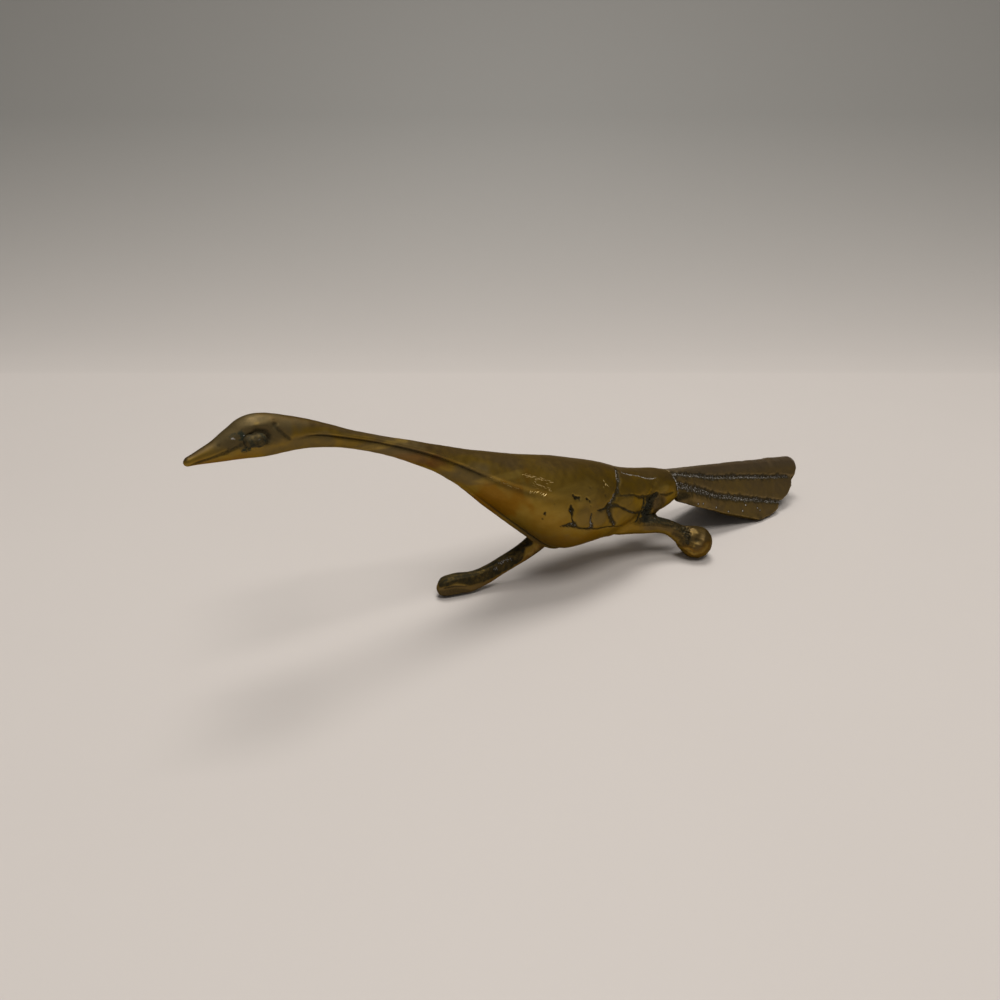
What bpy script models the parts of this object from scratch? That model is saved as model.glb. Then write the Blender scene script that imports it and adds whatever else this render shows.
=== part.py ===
"""Brass roadrunner figurine, running low with its neck stretched out.

Two solid half castings meet on the bird's middle plane, with dowels to hold them in line.
Each leg is seated in its own half by a spigot, the tail fan by a tenon, each eye by a stem.
While it is modelled the bill's tip is at X = 0, the middle plane at Y = 0 and the floor at Z = 0.
The bird looks along -X, and its left side is -Y.
"""

import math

import bmesh
import bpy
from mathutils import Vector

MM = 0.001
LEFT = -1
RIGHT = 1

# Fits
SEAT_GAP = 0.3 * MM
HALF_JOINT_GAP = SEAT_GAP / 2

# Head, neck and body: distance behind the bill's tip, height of the centre, depth and width
BODY_STATIONS = (
    (0.0 * MM, 69.4 * MM, 2.0 * MM, 1.8 * MM),
    (4.2 * MM, 70.3 * MM, 3.9 * MM, 3.3 * MM),
    (9.4 * MM, 71.3 * MM, 6.6 * MM, 5.0 * MM),
    (14.3 * MM, 72.9 * MM, 10.4 * MM, 7.6 * MM),
    (19.3 * MM, 72.9 * MM, 11.7 * MM, 9.2 * MM),
    (25.5 * MM, 72.1 * MM, 9.8 * MM, 8.4 * MM),
    (34.0 * MM, 70.2 * MM, 7.3 * MM, 6.3 * MM),
    (46.0 * MM, 65.7 * MM, 5.2 * MM, 4.7 * MM),
    (57.9 * MM, 60.7 * MM, 6.4 * MM, 5.4 * MM),
    (67.5 * MM, 56.1 * MM, 8.4 * MM, 7.1 * MM),
    (77.7 * MM, 50.3 * MM, 12.5 * MM, 10.6 * MM),
    (88.6 * MM, 43.4 * MM, 19.2 * MM, 16.4 * MM),
    (100.3 * MM, 36.2 * MM, 26.5 * MM, 23.0 * MM),
    (110.5 * MM, 30.3 * MM, 32.9 * MM, 28.0 * MM),
    (117.2 * MM, 28.3 * MM, 33.2 * MM, 29.2 * MM),
    (130.9 * MM, 25.9 * MM, 28.9 * MM, 27.4 * MM),
    (144.0 * MM, 23.6 * MM, 23.6 * MM, 23.4 * MM),
    (156.0 * MM, 21.7 * MM, 20.7 * MM, 19.2 * MM),
    (163.0 * MM, 21.7 * MM, 18.6 * MM, 17.0 * MM),
    (168.0 * MM, 22.6 * MM, 12.8 * MM, 15.6 * MM),
)
TAIL_JOINT = BODY_STATIONS[-1][0]
RING_STEP = 3.4 * MM
SECTION_STEPS = 14

# Crease along the neck and flank, and the step where the back feathers end on the rump
CREASE_START = 27.0 * MM
CREASE_END = 116.0 * MM
CREASE_FADE = 20.0 * MM
CREASE_DEPTH = 0.7 * MM
CREASE_ANGLE = math.radians(12)
CREASE_SPREAD = math.radians(6)
RUMP_STEP_PLACE = 142.0 * MM
RUMP_STEP_DEPTH = 0.5 * MM
RUMP_STEP_RUN = 0.8 * MM

# Tail fan: an arched shell of five feathers that widens and droops to its two lower corners
TAIL_LENGTH = 78.0 * MM
TAIL_ROOT_DEPTH = 9.0 * MM
TAIL_CORNER_HEIGHT = 1.8 * MM
TAIL_CORNER_HALF_WIDTH = 14.2 * MM
TAIL_RIDGE_FALL = 12.2 * MM
TAIL_RIDGE_DROOP = 0.2
TAIL_EDGE_THICKNESS = 3.0 * MM
TAIL_ROOT_THICKNESS = 7.6 * MM
TAIL_ROOT_RUN = 24.0 * MM
TAIL_RIDGE_ROUNDNESS = 0.25
TAIL_RIDGE_SHARE = 0.6
SLOPE_STEP = 0.01
TAIL_RINGS = 16

# Feathers of one side of the fan: where their grooves lie from ridge to edge, and their lengths
TAIL_GROOVES = (0.355, 0.70)
TAIL_NOTCHES = (70.5 * MM, 58.0 * MM)
TAIL_CORNER_LENGTH = 43.0 * MM
TAIL_FEATHER_BULGE = 3.0 * MM
TAIL_GROOVE_DEPTH = 0.7 * MM
TAIL_GROOVE_SPREAD = 0.035

# Tenon that seats the tail in the rump
TENON_LENGTH = 10.0 * MM
TENON_LAP = 3.0 * MM
TENON_WIDTH = 6.0 * MM
TENON_DEPTH = 5.0 * MM
TENON_DROP = 4.8 * MM

# Legs, along each centre line from the root outward: distance behind the bill, across, height,
# half height and half width. The rear leg starts at the thigh, which only just stands out of the flank
FRONT_LEG = (
    (116.5 * MM, 4.4 * MM, 16.6 * MM, 3.6 * MM, 3.8 * MM),
    (110.6 * MM, 4.4 * MM, 12.9 * MM, 3.4 * MM, 3.6 * MM),
    (104.2 * MM, 4.6 * MM, 10.1 * MM, 3.1 * MM, 3.3 * MM),
    (97.0 * MM, 5.2 * MM, 7.7 * MM, 2.9 * MM, 3.1 * MM),
    (89.2 * MM, 6.2 * MM, 4.9 * MM, 3.1 * MM, 3.3 * MM),
    (84.1 * MM, 7.2 * MM, 3.9 * MM, 3.6 * MM, 3.7 * MM),
    (79.8 * MM, 8.3 * MM, 3.6 * MM, 3.8 * MM, 3.9 * MM),
    (76.8 * MM, 9.0 * MM, 3.5 * MM, 3.7 * MM, 3.7 * MM),
)
REAR_THIGH = (127.0 * MM, 4.2 * MM, 18.4 * MM, 4.6 * MM, 4.4 * MM)
REAR_LEG = (
    (141.0 * MM, 6.3 * MM, 16.4 * MM, 5.2 * MM, 4.8 * MM),
    (148.6 * MM, 8.0 * MM, 14.4 * MM, 4.0 * MM, 3.9 * MM),
    (154.8 * MM, 10.0 * MM, 13.3 * MM, 3.1 * MM, 3.2 * MM),
    (159.1 * MM, 12.0 * MM, 11.9 * MM, 2.9 * MM, 3.0 * MM),
    (162.6 * MM, 14.8 * MM, 9.4 * MM, 3.5 * MM, 3.5 * MM),
    (165.0 * MM, 16.8 * MM, 7.6 * MM, 5.3 * MM, 5.3 * MM),
    (167.6 * MM, 18.4 * MM, 6.0 * MM, 6.2 * MM, 6.2 * MM),
)
LEG_SIDES = 16
LEG_STEP = 2.2 * MM
TOE_SHARES = (0.35, 0.65, 0.87, 0.98)
FRONT_LEG_FLAT = 0.55
REAR_LEG_FLAT = 1.0

# Spigot on each leg's root, from a point on the leg to its end inside the body
SPIGOT_RADIUS = 1.8 * MM
SPIGOT_DEPTH = 3.0 * MM

# Eyes: oval domes in pockets, half way up the sides of the head
EYE_PLACE = 16.9 * MM
EYE_LENGTH = 6.0 * MM
EYE_DEPTH = 3.3 * MM
EYE_STAND = 1.1 * MM
EYE_HALF_THICKNESS = 1.65 * MM
EYE_STEM_RADIUS = 0.8 * MM
EYE_STEM_LENGTH = 2.2 * MM

# Dowels between the halves, half way up the body: distance behind the bill
BREAST_DOWEL_PLACE = 104.0 * MM
RUMP_DOWEL_PLACE = 148.0 * MM
DOWEL_RADIUS = 2.0 * MM
DOWEL_LENGTH = 14.0 * MM
ROUND_SIDES = 20
SHARP_ANGLE = math.radians(40)

# Colours of the castings, the eyes and the hidden brass
AGED_BRASS = (0.23, 0.15, 0.05)
TAIL_BRASS = (0.19, 0.13, 0.055)
EYE_BRASS = (0.15, 0.14, 0.08)
RAW_BRASS = (0.48, 0.34, 0.13)


def clear_scene():
    """Remove every object of the opened scene."""
    for scene_object in list(bpy.data.objects):
        bpy.data.objects.remove(scene_object, do_unlink=True)


def brass(name, colour, roughness):
    """Make one brass material."""
    material = bpy.data.materials.new(name)
    material.use_nodes = True
    shader = material.node_tree.nodes["Principled BSDF"]
    shader.inputs["Base Color"].default_value = (*colour, 1.0)
    shader.inputs["Roughness"].default_value = roughness
    shader.inputs["Metallic"].default_value = 1.0
    return material


def smooth_row(rows, place):
    """Read the columns of a table of stations at one place, on a smooth curve through its rows."""
    last = len(rows) - 2
    index = min(max(sum(row[0] <= place for row in rows) - 1, 0), last)
    here = rows[index]
    there = rows[index + 1]
    before = rows[max(index - 1, 0)]
    after = rows[min(index + 2, last + 1)]
    span = there[0] - here[0]
    share = (place - here[0]) / span
    values = []
    for column in range(1, len(here)):
        leave = span * (there[column] - before[column]) / (there[0] - before[0])
        arrive = span * (after[column] - here[column]) / (after[0] - here[0])
        change = there[column] - here[column]
        bend = share * (1 - share)
        value = here[column] + share * change
        value += bend * ((1 - share) * (leave - change) - share * (arrive - change))
        values.append(value)
    return values


def ease(value):
    """Rise smoothly from 0 to 1 as the value goes from 0 to 1."""
    bounded = min(max(value, 0.0), 1.0)
    return bounded * bounded * (3 - 2 * bounded)


def new_object(name, bm, material, root):
    """Turn a finished bmesh into a smooth-shaded object under the bird's root."""
    bmesh.ops.recalc_face_normals(bm, faces=bm.faces)
    mesh = bpy.data.meshes.new(name)
    bm.to_mesh(mesh)
    bm.free()
    mesh.shade_smooth()
    mesh.set_sharp_from_angle(angle=SHARP_ANGLE)
    mesh.materials.append(material)
    piece = bpy.data.objects.new(name, mesh)
    piece.parent = root
    bpy.context.collection.objects.link(piece)
    return piece


def skin(rings):
    """Join closed rings of points into one solid, with a ladder of faces across both ends."""
    bm = bmesh.new()
    loops = [[bm.verts.new(point) for point in ring] for ring in rings]
    count = len(loops[0])
    for front, back in zip(loops, loops[1:]):
        for corner in range(count):
            beside = (corner + 1) % count
            bm.faces.new((front[corner], front[beside], back[beside], back[corner]))
    for loop in (loops[0], loops[-1]):
        for rung in range(count // 2 - 1):
            bm.faces.new((loop[rung], loop[rung + 1], loop[count - 2 - rung], loop[count - 1 - rung]))
    return bm


def combine(target, tool, operation):
    """Cut the tool out of the target, or join it on, and keep the tool as a hidden guide."""
    tool.hide_render = True
    tool.display_type = "WIRE"
    modifier = target.modifiers.new(tool.name, "BOOLEAN")
    modifier.operation = operation
    modifier.solver = "EXACT"
    modifier.object = tool


def rod(name, start, end, radius, material, root):
    """Make a plain cylinder between two points."""
    axis = end - start
    bm = bmesh.new()
    bmesh.ops.create_cone(bm, cap_ends=True, segments=ROUND_SIDES, radius1=radius, radius2=radius,
                          depth=axis.length)
    turn = Vector((0, 0, 1)).rotation_difference(axis).to_matrix()
    bmesh.ops.rotate(bm, verts=bm.verts, matrix=turn)
    bmesh.ops.translate(bm, verts=bm.verts, vec=(start + end) / 2)
    return new_object(name, bm, material, root)


def block(name, centre, size, material, root):
    """Make a rectangular block."""
    bm = bmesh.new()
    bmesh.ops.create_cube(bm, size=1.0)
    bmesh.ops.scale(bm, verts=bm.verts, vec=size)
    bmesh.ops.translate(bm, verts=bm.verts, vec=centre)
    return new_object(name, bm, material, root)


def oval(name, centre, radii, material, root):
    """Make an egg-shaped solid from three radii."""
    bm = bmesh.new()
    bmesh.ops.create_uvsphere(bm, u_segments=ROUND_SIDES, v_segments=10, radius=1.0)
    bmesh.ops.scale(bm, verts=bm.verts, vec=radii)
    bmesh.ops.translate(bm, verts=bm.verts, vec=centre)
    return new_object(name, bm, material, root)


def section_angles():
    """Angles round one side of the body from the back to the belly, closer together at the crease."""
    even = [math.pi * (0.5 - step / SECTION_STEPS) for step in range(SECTION_STEPS + 1)]
    clear = [angle for angle in even if abs(angle - CREASE_ANGLE) > 1.5 * CREASE_SPREAD]
    crease = [CREASE_ANGLE + shift * CREASE_SPREAD for shift in (1, 0, -1)]
    angles = sorted(clear + crease, reverse=True)
    if len(angles) % 2:
        angles.insert(1, (angles[0] + angles[1]) / 2)
    return angles


def crease_depth(place, angle):
    """Depth of the crease at one place and angle, fading out at both of its ends."""
    along = ease((place - CREASE_START) / CREASE_FADE) * ease((CREASE_END - place) / CREASE_FADE)
    across = max(1 - abs(angle - CREASE_ANGLE) / CREASE_SPREAD, 0)
    return CREASE_DEPTH * along * across


def body_side(place, side, joint_gap, grow):
    """Points down one side of the body's section at one place, from its back to its belly."""
    height, depth, width = smooth_row(BODY_STATIONS, place)
    step = RUMP_STEP_DEPTH * ease((place - RUMP_STEP_PLACE) / RUMP_STEP_RUN)
    points = []
    for angle in section_angles():
        change = grow - step - crease_depth(place, angle)
        across = joint_gap + (width / 2 + change) * math.cos(angle)
        if abs(math.cos(angle)) < 0.001:
            across = joint_gap
        points.append(Vector((place, side * across, height + (depth / 2 + change) * math.sin(angle))))
    return points


def ring_places(start, end):
    """Even places along the body, with two more where the rump steps down."""
    count = math.ceil((end - start) / RING_STEP)
    places = [start + (end - start) * step / count for step in range(count + 1)]
    step_places = (RUMP_STEP_PLACE, RUMP_STEP_PLACE + RUMP_STEP_RUN)
    clear = [place for place in places if min(abs(place - other) for other in step_places) > RING_STEP / 4]
    return sorted(clear + [place for place in step_places if start < place < end])


def half_casting(name, side, material, root):
    """Make the body, neck and head of one side, flat on the middle plane."""
    end = TAIL_JOINT - SEAT_GAP
    rings = [body_side(place, side, HALF_JOINT_GAP, 0.0) for place in ring_places(0.0, end)]
    return new_object(name, skin(rings), material, root)


def body_former(name, grow, material, root):
    """Make the whole body grown on all sides, to cut the seats of what stands on it."""
    rings = []
    for place in ring_places(0.0, TAIL_JOINT):
        left = body_side(place, LEFT, 0.0, grow)
        right = body_side(place, RIGHT, 0.0, grow)
        rings.append(left + right[-2:0:-1])
    return new_object(name, skin(rings), material, root)


def limb_rows(centre_line):
    """Put the length along a limb's centre line before each of its rows."""
    rows = []
    length = 0.0
    for index, row in enumerate(centre_line):
        if index:
            length += (Vector(row[:3]) - Vector(centre_line[index - 1][:3])).length
        rows.append((length, *row))
    return rows


def limb_ring(centre, forward, half_height, half_width, side, flat):
    """Make one ring of a limb, square to its centre line, flat on its inner side and underneath."""
    outward = side * Vector((0, 0, 1)).cross(forward).normalized()
    if outward.y * side < 0:
        outward = -outward
    upward = forward.cross(outward).normalized()
    if upward.z < 0:
        upward = -upward
    ring = []
    for corner in range(LEG_SIDES):
        angle = math.tau * (corner + 0.5) / LEG_SIDES + math.pi / 2
        reach = max(math.cos(angle), -flat) * half_width
        point = centre + outward * reach + upward * math.sin(angle) * half_height
        ring.append(Vector((point.x, point.y, max(point.z, 0.0))))
    return ring


def limb(name, centre_line, side, flat, material, root):
    """Make a leg as rings along a smooth centre line, with a rounded toe."""
    rows = limb_rows([(row[0], side * row[1], *row[2:]) for row in centre_line])
    length = rows[-1][0]
    count = math.ceil(length / LEG_STEP)
    rings = []
    for step in range(count + 1):
        place = length * step / count
        x, y, z, half_height, half_width = smooth_row(rows, place)
        back = Vector(smooth_row(rows, place - length / count / 4)[:3])
        forward = (Vector(smooth_row(rows, place + length / count / 4)[:3]) - back).normalized()
        rings.append(limb_ring(Vector((x, y, z)), forward, half_height, half_width, side, flat))
    toe = Vector(rows[-1][1:4])
    half_height, half_width = rows[-1][4:6]
    level = Vector((forward.x, forward.y, 0)).normalized()
    for share in TOE_SHARES:
        shrink = math.sqrt(1 - share * share)
        toward = forward.lerp(level, share).normalized()
        centre = toe + toward * share * half_width
        rings.append(limb_ring(centre, toward, shrink * half_height, shrink * half_width, side, flat))
    return new_object(name, skin(rings), material, root)


def seat_leg(leg, half, former, centre_line, side, material, root):
    """Shape the leg's root to the body and run its spigot into a socket in the half."""
    combine(leg, former, "DIFFERENCE")
    on_leg = Vector((centre_line[2][0], side * centre_line[2][1], centre_line[2][2]))
    root_end = Vector((centre_line[0][0], side * centre_line[0][1], centre_line[0][2]))
    inward = (root_end - on_leg).normalized()
    end = root_end + inward * SPIGOT_DEPTH
    spigot = rod(leg.name + "_spigot", on_leg, end, SPIGOT_RADIUS, material, root)
    combine(leg, spigot, "UNION")
    socket = rod(leg.name + "_socket", on_leg, end + inward * SEAT_GAP, SPIGOT_RADIUS + SEAT_GAP,
                 material, root)
    combine(half, socket, "DIFFERENCE")


def rump_end():
    """Top and half width of the rump where the tail's root lines up with it."""
    height, depth, width = smooth_row(BODY_STATIONS, TAIL_JOINT)
    return height + depth / 2 - RUMP_STEP_DEPTH, HALF_JOINT_GAP + width / 2 - RUMP_STEP_DEPTH


def tail_columns():
    """Places across the fan from its left edge at -1 to its right edge at 1, closer at the grooves."""
    first, second = TAIL_GROOVES
    spread = TAIL_GROOVE_SPREAD
    near = [0.0, first / 3, 2 * first / 3]
    for groove, after in ((first, second), (second, 1.0)):
        near += [groove - spread, groove, groove + spread]
        near += [groove + (after - groove) * share for share in (0.35, 0.7)]
    near.append(1.0)
    return [-place for place in reversed(near[1:])] + near


def feather_end(across):
    """Distance from the tail's root to the scalloped end of the fan, at one place across it."""
    place = abs(across)
    first, second = TAIL_GROOVES
    if place <= first:
        round_off = math.sqrt(max(1 - (place / first) ** 2, 0.0))
        return TAIL_NOTCHES[0] + (TAIL_LENGTH - TAIL_NOTCHES[0]) * round_off
    if place <= second:
        share = (place - first) / (second - first)
        start, end = TAIL_NOTCHES
    else:
        share = (place - second) / (1 - second)
        start, end = TAIL_NOTCHES[1], TAIL_CORNER_LENGTH
    return start + (end - start) * share + 4 * TAIL_FEATHER_BULGE * share * (1 - share)


def arch(distance, across):
    """Point of the fan's upper surface, at a distance from the root and a place across it."""
    share = distance / TAIL_LENGTH
    spread = distance / TAIL_CORNER_LENGTH
    root_ridge, root_half_width = rump_end()
    root_edge = root_ridge - TAIL_ROOT_DEPTH
    half_width = root_half_width + (TAIL_CORNER_HALF_WIDTH - root_half_width) * spread
    edge = root_edge + (TAIL_CORNER_HEIGHT - root_edge) * spread
    ridge = root_ridge - TAIL_RIDGE_FALL * share * (1 - TAIL_RIDGE_DROOP * (1 - share))
    rounded = math.sqrt(max(1 - across * across, 0.0))
    blunt = TAIL_RIDGE_ROUNDNESS
    tent = 1 - (math.hypot(across, blunt) - blunt) / (math.hypot(1, blunt) - blunt)
    mix = ease(distance / TAIL_ROOT_RUN)
    rise = rounded + (tent - rounded) * mix
    return Vector((TAIL_JOINT + distance, half_width * across, edge + (ridge - edge) * rise))


def tail_point(distance, across, depth):
    """Point at a depth below the fan's upper surface, measured square to it, and never under the floor.

    Near the ridge it lies straight below its place, so that the undersides of both flanks stay apart.
    """
    low = arch(distance, max(across - SLOPE_STEP, -1.0))
    high = arch(distance, min(across + SLOPE_STEP, 1.0))
    slope = (high - low).normalized()
    inward = min(depth, TAIL_EDGE_THICKNESS) * slope.z * ease(abs(across) / TAIL_RIDGE_SHARE)
    drop = (depth - inward * slope.z) / slope.y
    point = arch(distance, across)
    return Vector((point.x, point.y + inward, max(point.z - drop, 0.0)))


def tail_ring(share):
    """Ring round the fan at one share of every feather's length, over the top and back underneath."""
    over = []
    under = []
    for across in tail_columns():
        distance = feather_end(across) * share
        groove = min(abs(abs(across) - place) for place in TAIL_GROOVES)
        cut = TAIL_GROOVE_DEPTH * max(1 - groove / TAIL_GROOVE_SPREAD, 0.0) * ease(distance / TENON_LAP)
        fill = 1 - ease(distance / TAIL_ROOT_RUN)
        extra = (TAIL_ROOT_THICKNESS - TAIL_EDGE_THICKNESS) * fill * (1 - across * across)
        over.append(tail_point(distance, across, cut))
        under.append(tail_point(distance, across, TAIL_EDGE_THICKNESS + extra))
    return over + under[::-1]


def tail_fan(halves, material, root):
    """Make the tail, with the tenon that both halves close round."""
    rings = [tail_ring(step / TAIL_RINGS) for step in range(TAIL_RINGS + 1)]
    fan = new_object("tail_fan", skin(rings), material, root)
    size = Vector((TENON_LENGTH + TENON_LAP, TENON_WIDTH, TENON_DEPTH))
    middle = Vector((TAIL_JOINT + TENON_LAP - size.x / 2, 0, rump_end()[0] - TENON_DROP))
    tenon = block("tail_tenon", middle, size, material, root)
    combine(fan, tenon, "UNION")
    room = Vector((SEAT_GAP, SEAT_GAP, SEAT_GAP)) * 2
    mortise = block("tail_mortise", middle, size + room, material, root)
    for half in halves:
        combine(half, mortise, "DIFFERENCE")
    return fan


def seat_eye(name, half, side, material, root):
    """Make one eye and cut its pocket and stem hole in the head."""
    height, _, width = smooth_row(BODY_STATIONS, EYE_PLACE)
    reach = HALF_JOINT_GAP + width / 2 + EYE_STAND - EYE_HALF_THICKNESS
    centre = Vector((EYE_PLACE, side * reach, height))
    radii = Vector((EYE_LENGTH / 2, EYE_HALF_THICKNESS, EYE_DEPTH / 2))
    stem_end = centre - Vector((0, side * EYE_STEM_LENGTH, 0))
    eye = oval(name, centre, radii, material, root)
    combine(eye, rod(name + "_stem", centre, stem_end, EYE_STEM_RADIUS, material, root), "UNION")
    room = Vector((SEAT_GAP, SEAT_GAP, SEAT_GAP))
    combine(half, oval(name + "_pocket", centre, radii + room, material, root), "DIFFERENCE")
    hole_end = stem_end - Vector((0, side * SEAT_GAP, 0))
    hole = rod(name + "_hole", centre, hole_end, EYE_STEM_RADIUS + SEAT_GAP, material, root)
    combine(half, hole, "DIFFERENCE")
    return eye


def seat_dowel(name, place, halves, material, root):
    """Make one dowel across the middle plane and drill both halves for it."""
    reach = Vector((0, DOWEL_LENGTH / 2, 0))
    centre = Vector((place, 0, smooth_row(BODY_STATIONS, place)[0]))
    dowel = rod(name, centre - reach, centre + reach, DOWEL_RADIUS, material, root)
    room = Vector((0, SEAT_GAP, 0))
    hole = rod(name + "_hole", centre - reach - room, centre + reach + room,
               DOWEL_RADIUS + SEAT_GAP, material, root)
    for half in halves:
        combine(half, hole, "DIFFERENCE")
    return dowel


def stand_at_origin(root):
    """Move the bird so that its box is centred over the origin and it stands on the floor."""
    graph = bpy.context.evaluated_depsgraph_get()
    corners = []
    for piece in root.children:
        if not piece.hide_render:
            seen = piece.evaluated_get(graph)
            corners += [seen.matrix_world @ Vector(corner) for corner in seen.bound_box]
    low = [min(corner[axis] for corner in corners) for axis in range(3)]
    high = [max(corner[axis] for corner in corners) for axis in range(3)]
    root.location = (-(low[0] + high[0]) / 2, -(low[1] + high[1]) / 2, -low[2])


def main():
    """Model every piece of the figurine."""
    clear_scene()
    root = bpy.data.objects.new("roadrunner", None)
    bpy.context.collection.objects.link(root)
    aged = brass("aged_brass", AGED_BRASS, 0.34)
    raw = brass("raw_brass", RAW_BRASS, 0.4)

    left_half = half_casting("left_half", LEFT, aged, root)
    right_half = half_casting("right_half", RIGHT, aged, root)
    halves = (left_half, right_half)
    former = body_former("body_former", SEAT_GAP, raw, root)

    front_leg = limb("front_leg", FRONT_LEG, RIGHT, FRONT_LEG_FLAT, aged, root)
    seat_leg(front_leg, right_half, former, FRONT_LEG, RIGHT, raw, root)
    rear_leg = limb("rear_leg", (REAR_THIGH, *REAR_LEG), LEFT, REAR_LEG_FLAT, aged, root)
    seat_leg(rear_leg, left_half, former, REAR_LEG, LEFT, raw, root)

    tail_fan(halves, brass("tail_brass", TAIL_BRASS, 0.4), root)
    eye_brass = brass("eye_brass", EYE_BRASS, 0.5)
    seat_eye("left_eye", left_half, LEFT, eye_brass, root)
    seat_eye("right_eye", right_half, RIGHT, eye_brass, root)
    seat_dowel("breast_dowel", BREAST_DOWEL_PLACE, halves, raw, root)
    seat_dowel("rump_dowel", RUMP_DOWEL_PLACE, halves, raw, root)
    stand_at_origin(root)


if __name__ == "__main__":
    main()
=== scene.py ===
"""Looks of the brass roadrunner figurine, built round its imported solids.

A spot on the bird is given in millimetres, as its distance behind the bill's tip, its distance
across from the middle plane and its height above the floor. The bird looks along -X, and its
left side, which is -Y, is the near one.
"""

import math

import bmesh
import bpy
import numpy as np
from bpy.props import FloatProperty, FloatVectorProperty, IntProperty, PointerProperty
from bpy.types import Operator, Panel, PropertyGroup
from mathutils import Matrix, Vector
from mathutils.bvhtree import BVHTree


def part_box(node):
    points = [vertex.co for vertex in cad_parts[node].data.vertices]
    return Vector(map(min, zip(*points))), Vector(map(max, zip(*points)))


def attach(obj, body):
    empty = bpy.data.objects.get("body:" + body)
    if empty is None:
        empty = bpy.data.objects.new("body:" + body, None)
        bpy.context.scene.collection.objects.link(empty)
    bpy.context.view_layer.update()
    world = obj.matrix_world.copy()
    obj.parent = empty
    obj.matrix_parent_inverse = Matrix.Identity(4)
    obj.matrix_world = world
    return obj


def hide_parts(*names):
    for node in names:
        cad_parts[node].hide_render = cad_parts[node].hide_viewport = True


bl_info = {
    "name": "Roadrunner figurine",
    "version": (1, 0, 0),
    "blender": (4, 5, 0),
    "location": "3D View > Sidebar > Roadrunner",
    "description": "Finishes the castings of a running brass bird and sets its stage",
    "category": "Add Mesh",
}

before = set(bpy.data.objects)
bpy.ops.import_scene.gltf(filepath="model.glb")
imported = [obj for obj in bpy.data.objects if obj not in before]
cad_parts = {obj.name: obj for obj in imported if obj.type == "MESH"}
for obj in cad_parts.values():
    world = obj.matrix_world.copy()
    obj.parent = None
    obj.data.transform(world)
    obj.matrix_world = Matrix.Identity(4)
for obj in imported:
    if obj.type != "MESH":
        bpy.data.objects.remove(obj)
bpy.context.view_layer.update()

MM = 0.001
LEFT = -1
RIGHT = 1
BODY = "root"
BILL_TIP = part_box("left_half")[0].x
MIDDLE = (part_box("left_half")[1].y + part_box("right_half")[0].y) / 2
JOINT_GAP = (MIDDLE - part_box("left_half")[1].y) / MM
BODY_LENGTH = (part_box("left_half")[1].x - BILL_TIP) / MM
ORIGIN = np.array((BILL_TIP, MIDDLE, 0.0))

# How the body is measured and rebuilt, in millimetres: the step between its readings, where their
# rays start, how widely they are evened out, on the body and on the head, and the step of its rings
READ_STEP = 0.5
READ_FROM = 100.0
READ_EVENING = 2.6
HEAD_EVENING = 1.3
HEAD_END = 34.0
RING_STEP = 0.34
# Spots from the top to the bottom of each ring of one half
HALF_ANGLES = 117
# How far each half stays from the middle plane, and how its two ends are rounded
SEAM_GAP = 0.02
BILL_ROUNDING = 1.1
RUMP_ROUNDING = 0.3
# How far left of the middle plane the thin strip and the dark joint run along the breast
SEAM_STRIP = 1.7
SEAM_JOINT = 2.9
STRIP_WIDTH = 0.85
JOINT_WIDTH = 0.62
# Where along the body they leave the middle plane, and where they come in and go out
SEAM_LEAVES = 66
SEAM_OPENS = 74
SEAM_CLOSES = 121
# Size of the even faces that a solid is rebuilt with, and how often its edges are eased
REBUILT = {"front_leg": (0.24, 6), "rear_leg": (0.24, 5), "tail_fan": (0.34, 5),
           "left_eye": (0.16, 3), "right_eye": (0.16, 3)}
# Edges sharper than this stay sharp
SHARP_ANGLE = math.radians(58)

# Crease from the ear to the flank: distance behind the bill, height and half width
CREASE = ((24.8, 71.6, 0.4), (31.7, 71.1, 0.4), (43.0, 67.6, 0.42), (56.7, 62.3, 0.46), (69.0, 56.6, 0.55),
          (83.0, 48.2, 0.75), (91.9, 43.1, 1.0), (98.0, 40.0, 1.3), (104.4, 37.4, 1.6), (110.5, 35.2, 1.9),
          (118.5, 32.6, 2.3))
CREASE_START = 25.0
CREASE_DEEP_END = 94.0
CREASE_END = 119.0

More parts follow.
